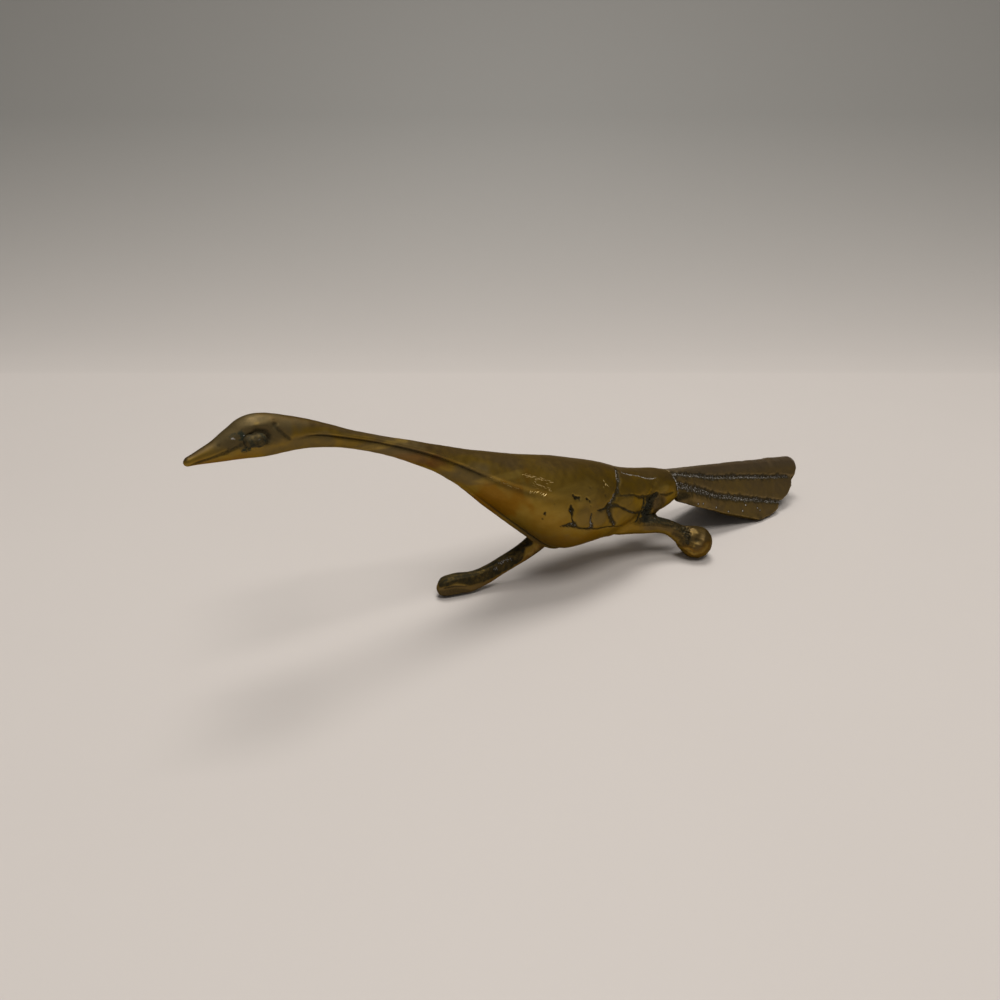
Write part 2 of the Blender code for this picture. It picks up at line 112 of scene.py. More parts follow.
# Carved lines of both sides: points with a half width each, then depth, grime and crust
# The grime of the socket and of the recess is painted shade in those hollows
CARVED_LINES = {
    "mouth": (((1.6, 69.0, 0.2), (4.4, 69.6, 0.35), (9.3, 70.9, 0.45), (13.6, 72.4, 0.5)), 0.2, 0.6, 0.0),
    "socket": (((14.4, 74.0, 0.3), (16.3, 75.0, 0.4), (18.2, 75.3, 0.6), (19.5, 74.6, 0.9), (20.0, 73.2, 0.8),
                (19.6, 71.8, 0.4)), 0.4, 0.65, 0.0),
    "ear": (((22.2, 75.7, 0.55), (22.6, 75.2, 0.45), (23.8, 73.7, 0.4), (25.4, 71.8, 0.5)), 0.36, 0.6, 0.0),
    "rump_band": (((139.3, 36.8, 0.35), (137.5, 36.2, 0.7), (136.2, 35.3, 0.95), (134.7, 34.2, 0.95),
                   (132.4, 32.6, 0.9), (129.7, 31.0, 0.8), (127.3, 28.9, 1.0), (127.9, 26.2, 0.85),
                   (129.4, 23.6, 0.8), (130.9, 21.2, 0.75)), 0.45, 0.8, 0.3),
    "rump_edge": (((138.0, 36.9, 0.3), (136.5, 36.5, 0.4), (134.9, 35.7, 0.35)), 0.1, 0.3, 0.6),
    "rump_low_edge": (((130.6, 32.4, 0.25), (129.4, 31.4, 0.3), (128.0, 30.2, 0.25)), 0.1, 0.3, 0.7),
    "back_feather": (((140.7, 35.5, 0.4), (145.7, 33.4, 0.42), (148.7, 32.3, 0.36), (151.5, 31.1, 0.4),
                      (155.5, 29.9, 0.34), (157.8, 29.6, 0.3)), 0.16, 0.5, 0.55),
    "back_plate": (((157.0, 29.0, 0.5), (153.8, 28.1, 0.6), (151.6, 26.0, 0.6)), 0.14, 0.3, 0.0),
    "plate_top": (((130.8, 32.0, 0.8), (133.0, 31.4, 0.5), (136.5, 30.3, 0.4), (141.2, 29.0, 0.4),
                   (144.2, 27.4, 0.5), (147.2, 26.5, 0.55), (151.4, 25.6, 0.5)), 0.32, 0.7, 0.2),
    "plate_low": (((127.5, 29.0, 0.9), (130.2, 28.9, 0.6), (132.6, 27.7, 0.42), (135.4, 26.0, 0.42),
                   (138.6, 23.9, 0.4), (143.2, 21.7, 0.45), (145.6, 20.9, 0.6)), 0.36, 0.8, 0.25),
    "plate_rear": (((147.4, 26.2, 0.5), (147.0, 23.7, 0.6), (146.0, 21.3, 0.7), (144.8, 18.9, 0.8),
                    (143.2, 17.0, 0.5)), 0.5, 0.9, 0.1),
    "recess": (((155.0, 25.0, 0.9), (151.8, 24.2, 1.7), (150.7, 21.6, 2.5), (149.6, 18.6, 2.5),
                (149.8, 16.6, 1.8), (153.6, 16.4, 1.0)), 1.15, 1.0, 0.2),
    "thigh_line": (((108.4, 26.9, 0.2), (113.0, 25.7, 0.28), (115.5, 24.5, 0.3), (118.1, 23.7, 0.3),
                    (123.0, 22.1, 0.26), (128.3, 21.2, 0.3), (131.6, 20.1, 0.28), (137.0, 18.1, 0.22)),
                   0.34, 0.8, 0.1),
    "first_wedge": (((107.4, 26.9, 0.15), (109.4, 27.2, 0.4), (111.6, 27.2, 0.7), (112.8, 26.2, 0.7)),
                    0.4, 0.9, 0.35),
    "first_scallop": (((111.0, 33.5, 0.4), (110.9, 32.3, 0.62), (111.2, 31.0, 0.42), (111.3, 29.2, 0.22),
                       (111.8, 27.8, 0.4)), 0.45, 1.0, 0.15),
    "second_scallop": (((119.2, 29.0, 0.42), (118.8, 27.2, 0.34), (119.3, 25.4, 0.55), (119.8, 23.7, 0.8)),
                       0.4, 0.85, 0.45),
    "third_scallop": (((121.8, 29.6, 0.25), (123.6, 29.2, 0.3), (125.4, 29.3, 0.5), (127.0, 29.4, 0.9)),
                      0.4, 0.85, 0.2),
    "haunch": (((156.6, 24.6, 0.3), (160.5, 23.2, 0.45), (164.8, 22.9, 0.35)), 0.25, 0.6, 0.0),
}
# Smooth plates between the carved lines: spot, half length, half height and rise
PLATES = ((115.4, 28.4, 2.9, 2.6, 0.22), (123.0, 25.8, 2.9, 2.9, 0.26), (136.0, 28.6, 5.4, 1.9, 0.34),
          (136.4, 22.2, 5.6, 2.5, 0.38), (145.0, 30.2, 6.6, 2.6, 0.3), (159.6, 25.6, 3.8, 1.7, 0.4),
          (156.4, 20.0, 1.5, 3.4, 0.5))
# Pits left by the casting: spot, radius, depth and grime
PITS = ((112.4, 36.9, 0.45, 0.5, 1.0), (113.4, 36.0, 0.7, 0.7, 1.0), (114.7, 35.6, 0.42, 0.5, 1.0),
        (117.9, 34.7, 0.36, 0.5, 1.0), (118.4, 34.2, 0.3, 0.5, 1.0), (118.9, 33.5, 0.36, 0.5, 1.0),
        (101.7, 32.6, 0.42, 0.45, 1.0), (101.4, 30.6, 0.28, 0.3, 0.9), (110.9, 32.2, 0.6, 0.6, 1.0),
        (110.9, 33.9, 0.35, 0.4, 0.9), (8.5, 72.9, 0.35, 0.1, 0.5), (22.3, 75.9, 0.6, 0.2, 0.6),
        (126.5, 33.4, 0.5, 0.2, 0.5), (120.5, 37.3, 0.4, 0.15, 0.5), (88.2, 30.6, 0.3, 0.2, 0.8),
        (10.4, 71.9, 0.3, 0.15, 0.5), (119.0, 31.9, 0.3, 0.2, 0.6), (105.0, 35.6, 0.3, 0.15, 0.5))
# Hollows of the body: spot, half length, half height, depth and strength of the painted shade in it
HOLLOWS = ((17.2, 73.0, 4.2, 2.5, 0.5, 0.25), (19.8, 73.6, 1.7, 2.0, 0.5, 0.5))
# Swellings of the body: spot, half length, half height and rise
SWELLINGS = ((17.9, 76.7, 3.6, 1.0, 0.4), (14.2, 71.2, 4.0, 1.2, 0.2), (11.0, 74.6, 3.4, 1.5, 0.22))
# Patches of colour on the body by mask: spot, half length, half height and strength
PATCHES = {
    # Warm tint together with painted reflection of the pale floor on the breast and the belly
    "amber_tint_and_reflection": ((87.5, 38.5, 14.0, 7.5, 1.0), (101.0, 28.0, 9.0, 6.0, 0.5), (114.0, 18.0, 26.0, 5.5, 0.55),
              (64.0, 56.5, 12.0, 4.0, 0.3)),
    # Coppery patches; the one in the eye's socket is painted shade
    "red": ((9.0, 68.6, 9.0, 1.9, 0.5), (67.0, 55.4, 5.2, 2.6, 0.7), (60.0, 58.0, 7.0, 2.0, 0.45),
            (19.8, 73.6, 2.0, 2.2, 0.5), (85.0, 40.5, 9.0, 4.5, 0.3)),
    # Greyed patches; the broad one over the head is painted shade that dims its highlight
    "dull_and_shade": ((77.8, 49.2, 7.6, 4.8, 0.75), (30.0, 68.0, 14.0, 3.2, 0.7), (49.0, 62.6, 16.0, 3.4, 0.6),
             (8.0, 72.4, 8.0, 2.2, 0.35), (116.0, 28.0, 4.0, 3.5, 0.45), (123.0, 26.0, 4.0, 4.0, 0.55),
             (136.0, 25.0, 8.0, 6.0, 0.45), (17.0, 76.0, 12.0, 5.0, 0.85)),
    # Browned patches, which are also painted shade, on the neck's underside, the head, the rump and the belly
    "browned_and_shaded": ((56.0, 60.0, 26.0, 4.6, 0.9), (156.5, 20.8, 4.5, 4.0, 0.9), (17.0, 75.6, 8.0, 3.4, 0.85),
                (151.0, 30.5, 9.0, 4.0, 0.25), (104.0, 20.0, 30.0, 4.0, 0.4)),
    "green": ((12.2, 74.8, 1.6, 0.7, 0.6), (14.0, 74.5, 0.9, 1.2, 1.0), (14.5, 71.0, 1.0, 1.1, 0.9),
              (149.5, 20.5, 3.4, 5.0, 0.8), (136.0, 35.2, 2.2, 1.2, 0.45), (132.0, 32.4, 2.2, 1.2, 0.45)),
    "crust": ((11.7, 74.3, 0.6, 0.5, 0.42), (14.5, 74.7, 0.2, 0.2, 0.5), (110.9, 32.2, 0.2, 0.2, 1.0),
              (153.2, 16.6, 0.5, 0.4, 1.0)),
    # Grime patches, which are painted shade on the neck, the head and the rump's strip
    "grime_and_shade": ((42.0, 64.4, 18.0, 3.6, 0.3), (68.0, 55.6, 13.0, 3.4, 0.36), (17.0, 76.0, 11.0, 4.8, 0.36),
              (44.0, 69.5, 16.0, 1.6, 0.2), (157.0, 20.6, 4.0, 3.6, 0.45)),
    # Rubbed patches, which are also painted highlights on the brow, along the crease's lip, on the flank and
    # on the rump
    "wear_and_highlight": ((17.9, 76.9, 1.0, 0.5, 0.45), (58.0, 63.8, 25.0, 1.2, 0.62), (88.0, 47.2, 12.0, 1.3, 0.6),
             (108.0, 38.4, 12.0, 2.2, 0.5), (103.0, 31.5, 7.0, 5.0, 0.35), (98.0, 43.0, 15.0, 3.5, 0.25),
             (118.0, 36.0, 9.0, 3.4, 0.6), (150.0, 30.0, 9.0, 3.0, 0.3), (159.8, 25.8, 3.0, 1.2, 0.7)),
}
# Height on the body above which it is browned and painted darker as shade, as a share of its half
# depth, at places along it
BROWN_SHADE_PLACES = (0, 30, 60, 84, 128, 142)
BROWN_SHADE_STARTS = (0.35, 0.5, 0.6, 0.62, 0.75, 0.62)
# File marks: rows of short burrs, each with its two ends, how far the burrs stray from it, how many
# they are, their length and their slope
FILE_LINES = (
    ((96.0, 46.4), (99.4, 45.2), 0.25, 13, 1.5, -0.12),
    ((98.5, 45.2), (105.4, 42.2), 0.35, 20, 1.7, -0.42),
    ((98.6, 43.4), (104.4, 40.1), 0.45, 18, 1.5, -0.65),
    ((97.0, 41.2), (101.8, 39.4), 0.3, 8, 1.3, 0.55),
    ((84.8, 47.6), (92.6, 42.8), 0.3, 11, 1.3, -0.45),
    ((127.6, 36.3), (129.2, 35.5), 0.3, 6, 0.9, 0.3),
)
# Half width and height of a burr, the steps along it and the seed of the draws
BURR_WIDTH = 0.09
BURR_HEIGHT = 0.06
BURR_STEPS = 6
BURR_SEED = 31

# Grooves between the tail's feathers: from root to end, behind the bill and across
TAIL_ROOT = 168.0
TAIL_GROOVES = (
    ((168.6, 3.0), (177.0, 3.6), (186.0, 3.9), (195.0, 4.1), (204.0, 4.5), (213.0, 4.9), (222.0, 5.3),
     (236.0, 6.0)),
    ((168.6, 5.8), (174.5, 6.5), (180.0, 7.1), (186.0, 7.5), (193.0, 8.1), (203.0, 9.0), (212.0, 9.8),
     (226.5, 11.3)),
)
TAIL_FLECKS = ((178.4, 8.7), (181.0, 8.9), (194.2, 11.0), (202.2, 11.6), (211.2, 11.8), (212.3, 12.4),
               (188.0, 9.8), (205.0, 10.6))
# Lower bound of the front leg's dark face: distance behind the bill and height
LEG_RIM = ((72.0, 5.0), (75.3, 5.4), (78.5, 5.4), (81.7, 4.4), (84.0, 3.3), (88.0, 3.2), (91.3, 4.2),
           (98.0, 5.8), (101.4, 7.0), (106.7, 10.2), (112.0, 13.8))
# Smooth lines on a leg: points behind the bill, across and up, step between the spots on the line,
# half width, rise, mask and strength
# The front leg's first line is a painted highlight along the toe's edge, the second painted shade under it
FRONT_STROKES = (
    (((74.6, 7.6, 5.4), (76.5, 7.0, 5.7), (78.5, 6.4, 5.4), (81.7, 5.6, 4.5)), 0.5, 0.4, 0.2, "wear_and_highlight", 0.6),
    (((74.8, 7.4, 4.6), (78.5, 6.6, 4.6), (82.2, 5.8, 3.8)), 0.5, 0.45, 0.0, "grime_and_shade", 0.75),
)
# Painted reflection of the floor along the bottom of the round foot
FOOT_GLOW = ((161.4, -20.0, 5.4), (163.4, -22.3, 3.9), (165.4, -23.8, 4.9), (167.2, -24.2, 7.2))
# Rubbed ridges with painted highlights on the shank and the foot's crest, painted shade down the ankle's
# lower side
REAR_STROKES = (
    (((145.0, -11.2, 17.2), (153.3, -12.6, 14.9), (158.6, -14.2, 13.9), (161.8, -15.9, 12.9)),
     0.6, 0.5, 0.16, "wear_and_highlight", 0.3),
    (((149.0, -12.0, 14.9), (155.8, -13.8, 13.1), (160.4, -16.2, 12.0)), 0.6, 0.45, 0.14, "wear_and_highlight", 0.3),
    (((165.6, -18.4, 12.4), (166.0, -19.6, 11.9), (165.4, -20.9, 11.1)), 0.4, 0.85, 0.22, "wear_and_highlight", 0.15),
    (((158.6, -15.6, 10.6), (160.2, -17.3, 9.7), (160.9, -19.4, 7.1)), 0.4, 1.7, 0.0, "grime_and_shade", 0.6),
    (FOOT_GLOW, 0.5, 2.2, 0.0, "amber_tint_and_reflection", 1.0),
    (FOOT_GLOW, 0.5, 1.1, 0.0, "wear_and_highlight", 0.7),
)
# Dimple with painted shade and a painted glint on the round foot: spot, radii, rise, mask and strength
FOOT_SPOTS = (((164.1, -22.1, 9.4), (1.7, 1.7, 1.6), -0.75, "grime_and_shade", 0.7),
              ((162.9, -21.9, 7.2), (0.35, 0.35, 0.45), 0.25, "wear_and_highlight", 1.0))
# Crack and pale haze on the front leg, and the hollow behind the rear leg's ankle
FRONT_CRACK = ((86.1, 7.9, 7.3), (89.6, 6.4, 8.2), (92.0, 5.6, 8.9), (94.6, 5.2, 9.9))
FRONT_HAZE = ((93.4, 4.0, 8.2), (95.8, 3.8, 9.6), (98.8, 3.5, 10.2))
REAR_HOLLOW = ((163.2, -16.2, 12.6), (162.7, -18.0, 11.5), (161.9, -19.2, 10.0), (161.4, -20.1, 8.0))

# How far the rump's underside is drawn up: at these distances behind the bill, by these heights
RUMP_LIFT = ((148.0, 155.0, 160.0, 166.0), (0.0, 0.7, 1.6, -0.5))
# How far the thigh's underside is drawn up, in the same way
THIGH_LIFT = ((122.0, 133.0, 142.0, 152.0), (0.0, 0.8, 0.8, 0.0))
# How far the fan's outer edges droop, in the same way
FAN_DROOP = ((170.0, 178.0, 190.0, 205.0, 222.0), (1.5, 1.8, 1.5, 0.8, 0.0))
# How far the top of the toe's end is rounded down, and its near lower edge up off the floor
TOE_DROP = 0.9
TOE_LIFT = 0.9
# How far the thigh may stand over a carved line of the flank that runs on across it
THIGH_OVER = 1.5
# How near to the flank the thigh starts to dive into it, and how deep
DIVE_REACH = 2.2
DIVE_DEPTH = 1.4
# Length over which a carved line runs out at each end
LINE_RUN_OUT = 1.6
# Height above the tail, from which rays look down on it
TAIL_ABOVE = 60.0

# Height in metres at which the backdrop has its full painted shade, and the curve of its change
WALL_FULL = 0.17
WALL_CURVE = 0.4
# Roughness of every noise, and how many patches a metre the grains keep to
NOISE_ROUGHNESS = 0.55
PATCHES_A_METRE = 650.0
# Colour of the brass where it is seen at a glancing angle
EDGE_TINT = (0.60, 0.50, 0.34)
# Floor, in metres from under the camera: its near edge, where it turns up, the turn's radius, its
# top and its half width
FLOOR_NEAR = -1.6
FLOOR_TURN = 0.50
FLOOR_RADIUS = 0.42
FLOOR_TOP = 1.9
FLOOR_SIDE = 2.6
# Soft lamps: name, direction from the bird, distance and width in metres, power and colour
LAMPS = (("front_lamp", (-0.12, -0.42, 1.0), 1.5, 0.6, 9.6, (1.0, 0.965, 0.92)),
         ("back_lamp", (0.10, 0.18, 1.0), 1.6, 0.6, 13.6, (1.0, 0.97, 0.93)))
ROOM_COLOUR = (1.0, 0.97, 0.94)
ROOM_STRENGTH = 0.17


def length_setting(name, about, metres):
    """Setting that is a length."""
    return FloatProperty(name=name, description=about, default=metres, unit="LENGTH")


def share_setting(name, about, share, most=1.0):
    """Setting that is a share of something, from 0 up."""
    return FloatProperty(name=name, description=about, default=share, min=0.0, max=most)


def angle_setting(name, about, degrees):
    """Setting that is an angle."""
    return FloatProperty(name=name, description=about, default=math.radians(degrees), subtype="ANGLE")


def colour_setting(name, about, *channels):
    """Setting that is a colour."""
    return FloatVectorProperty(name=name, description=about, subtype="COLOR", size=3, default=channels)


class FigurineSizes(PropertyGroup):
    """Sizes of the finish and of the view, in real units."""

    crease_depth: length_setting("Crease depth", "Step below the neck's crease", 0.32 * MM)
    crease_lip: length_setting("Crease lip", "Rise of the lip above the crease", 0.26 * MM)
    carving: share_setting("Carving", "Depth of the carved lines, against their usual one", 1.0, 2.0)
    seam_depth: length_setting("Breast seam", "Depth of the joint along the breast", 0.45 * MM)
    seam_strip: length_setting("Breast strip", "Height of the strip beside the joint", 0.9 * MM)
    ripple: length_setting("Hand ripple", "Unevenness left by hand filing", 0.06 * MM)
    leg_blend: length_setting("Leg flow", "Reach over which the legs flow into the body", 2.2 * MM)
    tail_blend: length_setting("Tail flow", "Reach over which the tail flows into the rump", 0.8 * MM)
    crust_spacing: length_setting("Crust spacing", "Space between the grains in the grooves", 0.22 * MM)
    crust_grain: length_setting("Crust grain", "Radius of a grain of dried polish", 0.13 * MM)
    crust_bare: share_setting("Crust bare", "Share of the grooves left without grains", 0.505)
    crust_seed: IntProperty(name="Crust seed", description="Seed of the grains' places", default=7)
    camera_back: length_setting("Camera behind", "Camera's distance behind the bill's tip", -0.0304)
    camera_aside: length_setting("Camera aside", "Camera's distance from the middle plane", -0.182)
    camera_height: length_setting("Camera height", "Camera's height above the floor", 0.138)
    camera_turn: angle_setting("Camera turn", "Turn of the view from square to the side", 34)
    camera_dip: angle_setting("Camera dip", "How far the view looks down", 25)
    lens: FloatProperty(name="Lens", description="Focal length in millimetres", default=27.0, min=1.0)


class FigurineColours(PropertyGroup):
    """Colours of the old brass and of the stage."""

    # Dark brass, which also paints the shade of the back and the head
    dark: colour_setting("Dark brass", "Browned brass of the back", 0.165, 0.108, 0.040)
    olive: colour_setting("Olive brass", "Handled brass of the flank", 0.255, 0.158, 0.024)
    bright: colour_setting("Rubbed brass", "Brass where it is rubbed", 0.40, 0.265, 0.058)
    # Rubbed brass, which also paints highlights and glints
    filed: colour_setting("Filed brass", "Bare brass in the file marks", 0.80, 0.62, 0.30)
    # Amber brass is partly a warm tint and partly painted reflection of the pale floor
    amber_tint_and_reflection: colour_setting("Amber brass", "Heat-tinted brass of the breast", 0.215, 0.104, 0.010)
    red: colour_setting("Red brass", "Coppery patch on the throat", 0.17, 0.070, 0.018)
    # Dull brass, which also paints shade over the head
    dull_and_shade: colour_setting("Dull brass", "Greyed patch on the throat", 0.15, 0.108, 0.045)
    green: colour_setting("Green crust", "Green corrosion by the eye", 0.030, 0.037, 0.025)
    # Grime, which also paints shade in creases, hollows and under parts
    grime_and_shade: colour_setting("Grime", "Dark grime in the carved lines", 0.017, 0.018, 0.013)
    crust: colour_setting("Dried polish", "Pale polish dried in the lines", 0.42, 0.40, 0.38)
    plain: colour_setting("Turned brass", "Brass of the hidden dowels", 0.62, 0.45, 0.19)
    floor: colour_setting("Floor", "Pale floor", 0.61, 0.57, 0.542)
    # Backdrop colour is painted shade: the upper backdrop is painted darker than the floor
    shaded_wall: colour_setting("Backdrop", "Greyer upper part of the backdrop", 0.245, 0.24, 0.227)


def ease(values):
    """Rise smoothly from 0 to 1 as the values go from 0 to 1."""
    bounded = np.clip(values, 0.0, 1.0)
    return bounded * bounded * (3 - 2 * bounded)


def bell(values):
    """Fall off from 1 at 0 to about a third at 1 and to nothing beyond 3."""
    return np.exp(-values ** 2)


def ripple(points, size, seed):
    """Smooth uneven field between about -1 and 1, whose bumps are of one size in millimetres."""
    draw = np.random.default_rng(seed)
    total = np.zeros(len(points))
    waves = 7
    for _ in range(waves):
        way = draw.normal(size=3)
        way *= math.tau / (np.linalg.norm(way) * size * draw.uniform(1.2, 3.0))
        bend = draw.normal(size=3) * 0.35 / size
        total += np.sin(points @ way + 2.2 * np.sin(points @ bend + draw.uniform(0, 9)) + draw.uniform(0, 9))
    return total / math.sqrt(waves)


def line_reach(points, line, widths):
    """Distance from each point to a line, as a share of the line's width there."""
    nearest = np.full(len(points), 99.0)
    margin = 6 * np.max(widths)
    near = np.all((points > line.min(axis=0) - margin) & (points < line.max(axis=0) + margin), axis=1)
    close = points[near]
    found = nearest[near]
    for start, end, first, last in zip(line, line[1:], widths, widths[1:]):
        along = end - start
        share = np.clip(((close - start) @ along) / max(along @ along, 1e-9), 0, 1)
        gap = np.linalg.norm(close - start - share[:, None] * along, axis=1)
        found = np.minimum(found, gap / (first + (last - first) * share))
    nearest[near] = found
    return nearest


def curve_through(points, step):
    """Even points on a smooth curve through a few points."""
    rows = np.array(points, float)
    lengths = np.concatenate([[0], np.cumsum(np.linalg.norm(np.diff(rows, axis=0), axis=1))])
    slopes = np.gradient(rows, lengths, axis=0, edge_order=1)
    places = np.linspace(0, lengths[-1], max(int(lengths[-1] / step), 2) + 1)
    index = np.clip(np.searchsorted(lengths, places, side="right") - 1, 0, len(rows) - 2)
    span = (lengths[index + 1] - lengths[index])[:, None]
    share = (places - lengths[index])[:, None] / span
    here, there = rows[index], rows[index + 1]
    leave, arrive = slopes[index] * span, slopes[index + 1] * span
    square, cube = share ** 2, share ** 3
    return ((2 * cube - 3 * square + 1) * here + (cube - 2 * square + share) * leave
            + (3 * square - 2 * cube) * there + (cube - square) * arrive)


def mesh_surface(mesh):
    """Search tree over a mesh."""
    return BVHTree.FromPolygons([vertex.co for vertex in mesh.vertices],
                                [tuple(face.vertices) for face in mesh.polygons])


def node_surface(name):
    """Search tree over one solid."""
    return mesh_surface(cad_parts[name].data)


def to_world(points):
    """Turn spots on the bird in millimetres into places in metres."""
    return np.asarray(points) * MM + ORIGIN


def from_world(places):
    """Turn places in metres into spots on the bird in millimetres."""
    return (np.asarray(places) - ORIGIN) / MM


def first_hit(tree, start, way):
    """Spot in millimetres where a ray from a spot first meets a surface, or None."""
    place = tree.ray_cast(Vector(to_world(start)), Vector(way))[0]
    return None if place is None else from_world(place)


def grid_strip(first, count):
    """Faces between one ring of a grid of spots and the next."""
    return [(corner, corner + 1, corner + count + 1, corner + count)
            for corner in range(first, first + count - 1)]


class BodyForm:
    """The body without its carving, measured on the right half's solid and evened out."""

    def __init__(self):
        tree = node_surface("right_half")
        self.places = np.arange(READ_STEP / 2, BODY_LENGTH, READ_STEP)
        beside = 2 * JOINT_GAP
        rows = []
        for place in self.places:
            top = first_hit(tree, (place, beside, READ_FROM), (0, 0, -1))[2]
            bottom = first_hit(tree, (place, beside, 0.0), (0, 0, 1))[2]
            height, half_depth = (top + bottom) / 2, (top - bottom) / 2
            low = height - half_depth / 2
            across = first_hit(tree, (place, READ_FROM, low), (0, -1, 0))[1]
            rows.append((height, half_depth, (across - JOINT_GAP) / math.cos(math.radians(30))))
        head = ease((HEAD_END - self.places) / 10)
        self.columns = [head * self.even_out(column, HEAD_EVENING)
                        + (1 - head) * self.even_out(column, READ_EVENING) for column in np.array(rows).T]

    def even_out(self, values, spread):
        """Blur a measured row without pulling in its ends."""
        reach = int(3 * spread / READ_STEP)
        weights = np.exp(-0.5 * (np.arange(-reach, reach + 1) * READ_STEP / spread) ** 2)
        before = 2 * values[0] - values[reach:0:-1]
        after = 2 * values[-1] - values[-2:-reach - 2:-1]
        return np.convolve(np.concatenate([before, values, after]), weights / weights.sum(), "valid")

    def section(self, place):
        """Centre height, half depth and half width at one place or several."""
        return [np.interp(place, self.places, column) for column in self.columns]

    def spots(self, place, angle, side):
        """Spots on the surface at a place and at an angle above the widest line."""
        height, half_depth, half_width = self.section(place)
        from_tip = np.clip(place / BILL_ROUNDING, 0, 1)
        from_end = np.clip((BODY_LENGTH + JOINT_GAP - place) / RUMP_ROUNDING, 0, 1)
        shrink = np.sqrt(np.maximum(1 - (1 - from_tip) ** 2, 0.003))
        inset = RUMP_ROUNDING * (1 - np.sqrt(1 - (1 - from_end) ** 2))
        across = SEAM_GAP + np.maximum(half_width * shrink - inset, 0.01) * np.cos(angle)
        up = height + np.maximum(half_depth * shrink - inset, 0.01) * np.sin(angle)
        return np.stack(np.broadcast_arrays(place, side * across, up), axis=-1)

    def line_on_side(self, flat, side, step=0.5):
        """Smooth line on one side through flat points, with its width all along."""
        rows = curve_through(flat, step)
        return self.on_side(rows, side), rows[:, 2]

    def skin(self):
        """Search tree over the whole uncarved body."""
        places = ring_places()[::3]
        angles = np.linspace(math.pi / 2, -math.pi / 2, 41)
        spots = []
        faces = []
        for side in (LEFT, RIGHT):
            start = len(spots)
            grid = self.spots(places[:, None], angles[None, :], side)
            spots += to_world(grid.reshape(-1, 3)).tolist()
            for ring in range(len(places) - 1):
                strip = grid_strip(start + ring * len(angles), len(angles))
                faces += strip if side == LEFT else [face[::-1] for face in strip]
        return BVHTree.FromPolygons(spots, faces)

    def on_side(self, spots, side):
        """Put flat (place, height) points onto one side of the body."""
        place, up = np.array(spots, float).T[:2]
        height, half_depth, _ = self.section(place)
        angle = np.arcsin(np.clip((up - height) / half_depth, -0.985, 0.985))
        return self.spots(place, angle, side)

    def spot(self, place, up, side):
        """Spot on one side at a distance behind the bill and a height."""
        return self.on_side([(place, up)], side)[0]


class Casting:
    """One casting while it is carved: its spots, normals and colour masks."""

    MASKS = ("grime_and_shade", "crust", "wear_and_highlight", "browned_and_shaded", "amber_tint_and_reflection", "red", "dull_and_shade", "green")

    def __init__(self, spots, normals):
        self.spots = spots
        self.normals = normals
        self.rise = np.zeros(len(spots))
        self.masks = {mask: np.zeros(len(spots)) for mask in self.MASKS}

    def mark(self, mask, *strengths, where=slice(None)):
        """Raise a colour mask where a strength is above what it holds."""
        values = self.masks[mask]
        for strength in strengths:
            values[where] = np.maximum(values[where], np.clip(strength, 0, 1))

    def carve(self, line, widths, depth, dark, crusted, seed):
        """Cut an uneven line into the casting, with a small lip on both of its edges."""
        reach = line_reach(self.spots, line, widths)
        near = reach < 5
        spots = self.spots[near]
        reach = reach[near] * (1 + 0.22 * ripple(spots, 1.6, seed))
        cut = bell(reach)
        lip = bell((reach - 1.9) / 0.7)
        floor = 1 + 0.4 * ripple(spots, 0.8, seed + 1)
        ends = np.minimum(np.linalg.norm(spots - line[0], axis=1), np.linalg.norm(spots - line[-1], axis=1))
        self.rise[near] += depth * (0.06 * lip - cut * floor) * ease(0.2 + ends / LINE_RUN_OUT)
        self.mark("grime_and_shade", dark * np.exp(-(reach / 1.25) ** 4), where=near)
        self.mark("crust", crusted * bell(reach), where=near)

    def uneven(self, size, seed):
        """Smooth uneven field over the casting, whose bumps are of one size in millimetres."""
        return ripple(self.spots, size, seed)

    def cone(self, middle, radius):
        """Strength that falls off round a spot, from 1 to a third at one radius, the same or per axis."""
        return np.exp(-np.sum(((self.spots - middle) / radius) ** 2, axis=1))

    def from_line(self, line, width):
        """Distance of each spot from a line, in half widths of the line."""
        return line_reach(self.spots, line, np.full(len(line), width))

    def on_line(self, line, width):
        """Strength that falls off beside a line, from 1 to a third at its half width."""
        return bell(self.from_line(line, width))

    def stroke(self, table):
        """Raise and mark the smooth lines of a table."""
        for flat, step, width, rise, mask, strength in table:
            share = self.on_line(curve_through(flat, step), width)
            self.rise += rise * share
            self.mark(mask, strength * share)

    def finish(self):
        """Spots after every rise is added along the normals."""
        return self.spots + self.normals * self.rise[:, None]


def add_masks(mesh, masks):
    """Store the colour masks of a casting on its points."""
    for name, values in masks.items():
        layer = mesh.attributes.new(name, "FLOAT", "POINT")
        layer.data.foreach_set("value", values.astype(np.float32))


def add_object(name, data):
    """Object for a mesh, a lamp or a camera, put into the scene."""
    made = bpy.data.objects.new(name, data)
    bpy.context.scene.collection.objects.link(made)
    return made


def bake(draft):
    """Mesh that a draft's modifiers make of it. The draft itself is thrown away."""
    graph = bpy.context.evaluated_depsgraph_get()
    finished = bpy.data.meshes.new_from_object(draft.evaluated_get(graph))
    bpy.data.objects.remove(draft)
    return finished


def settle(name, mesh, material, nodes):
    """Turn a finished mesh into a piece that stands for its solids."""
    mesh.shade_smooth()
    mesh.set_sharp_from_angle(angle=SHARP_ANGLE)
    mesh.materials.clear()
    mesh.materials.append(material)
    piece = add_object(name, mesh)
    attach(piece, BODY)
    if nodes:
        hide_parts(*nodes)
    return piece


def grid_normals(grid, side):
    """Outward normals of a grid of spots, rings first."""
    along = np.gradient(grid, axis=0)
    around = np.gradient(grid, axis=1)
    normals = -side * np.cross(around, along)
    normals /= np.maximum(np.linalg.norm(normals, axis=2, keepdims=True), 1e-9)
    return normals


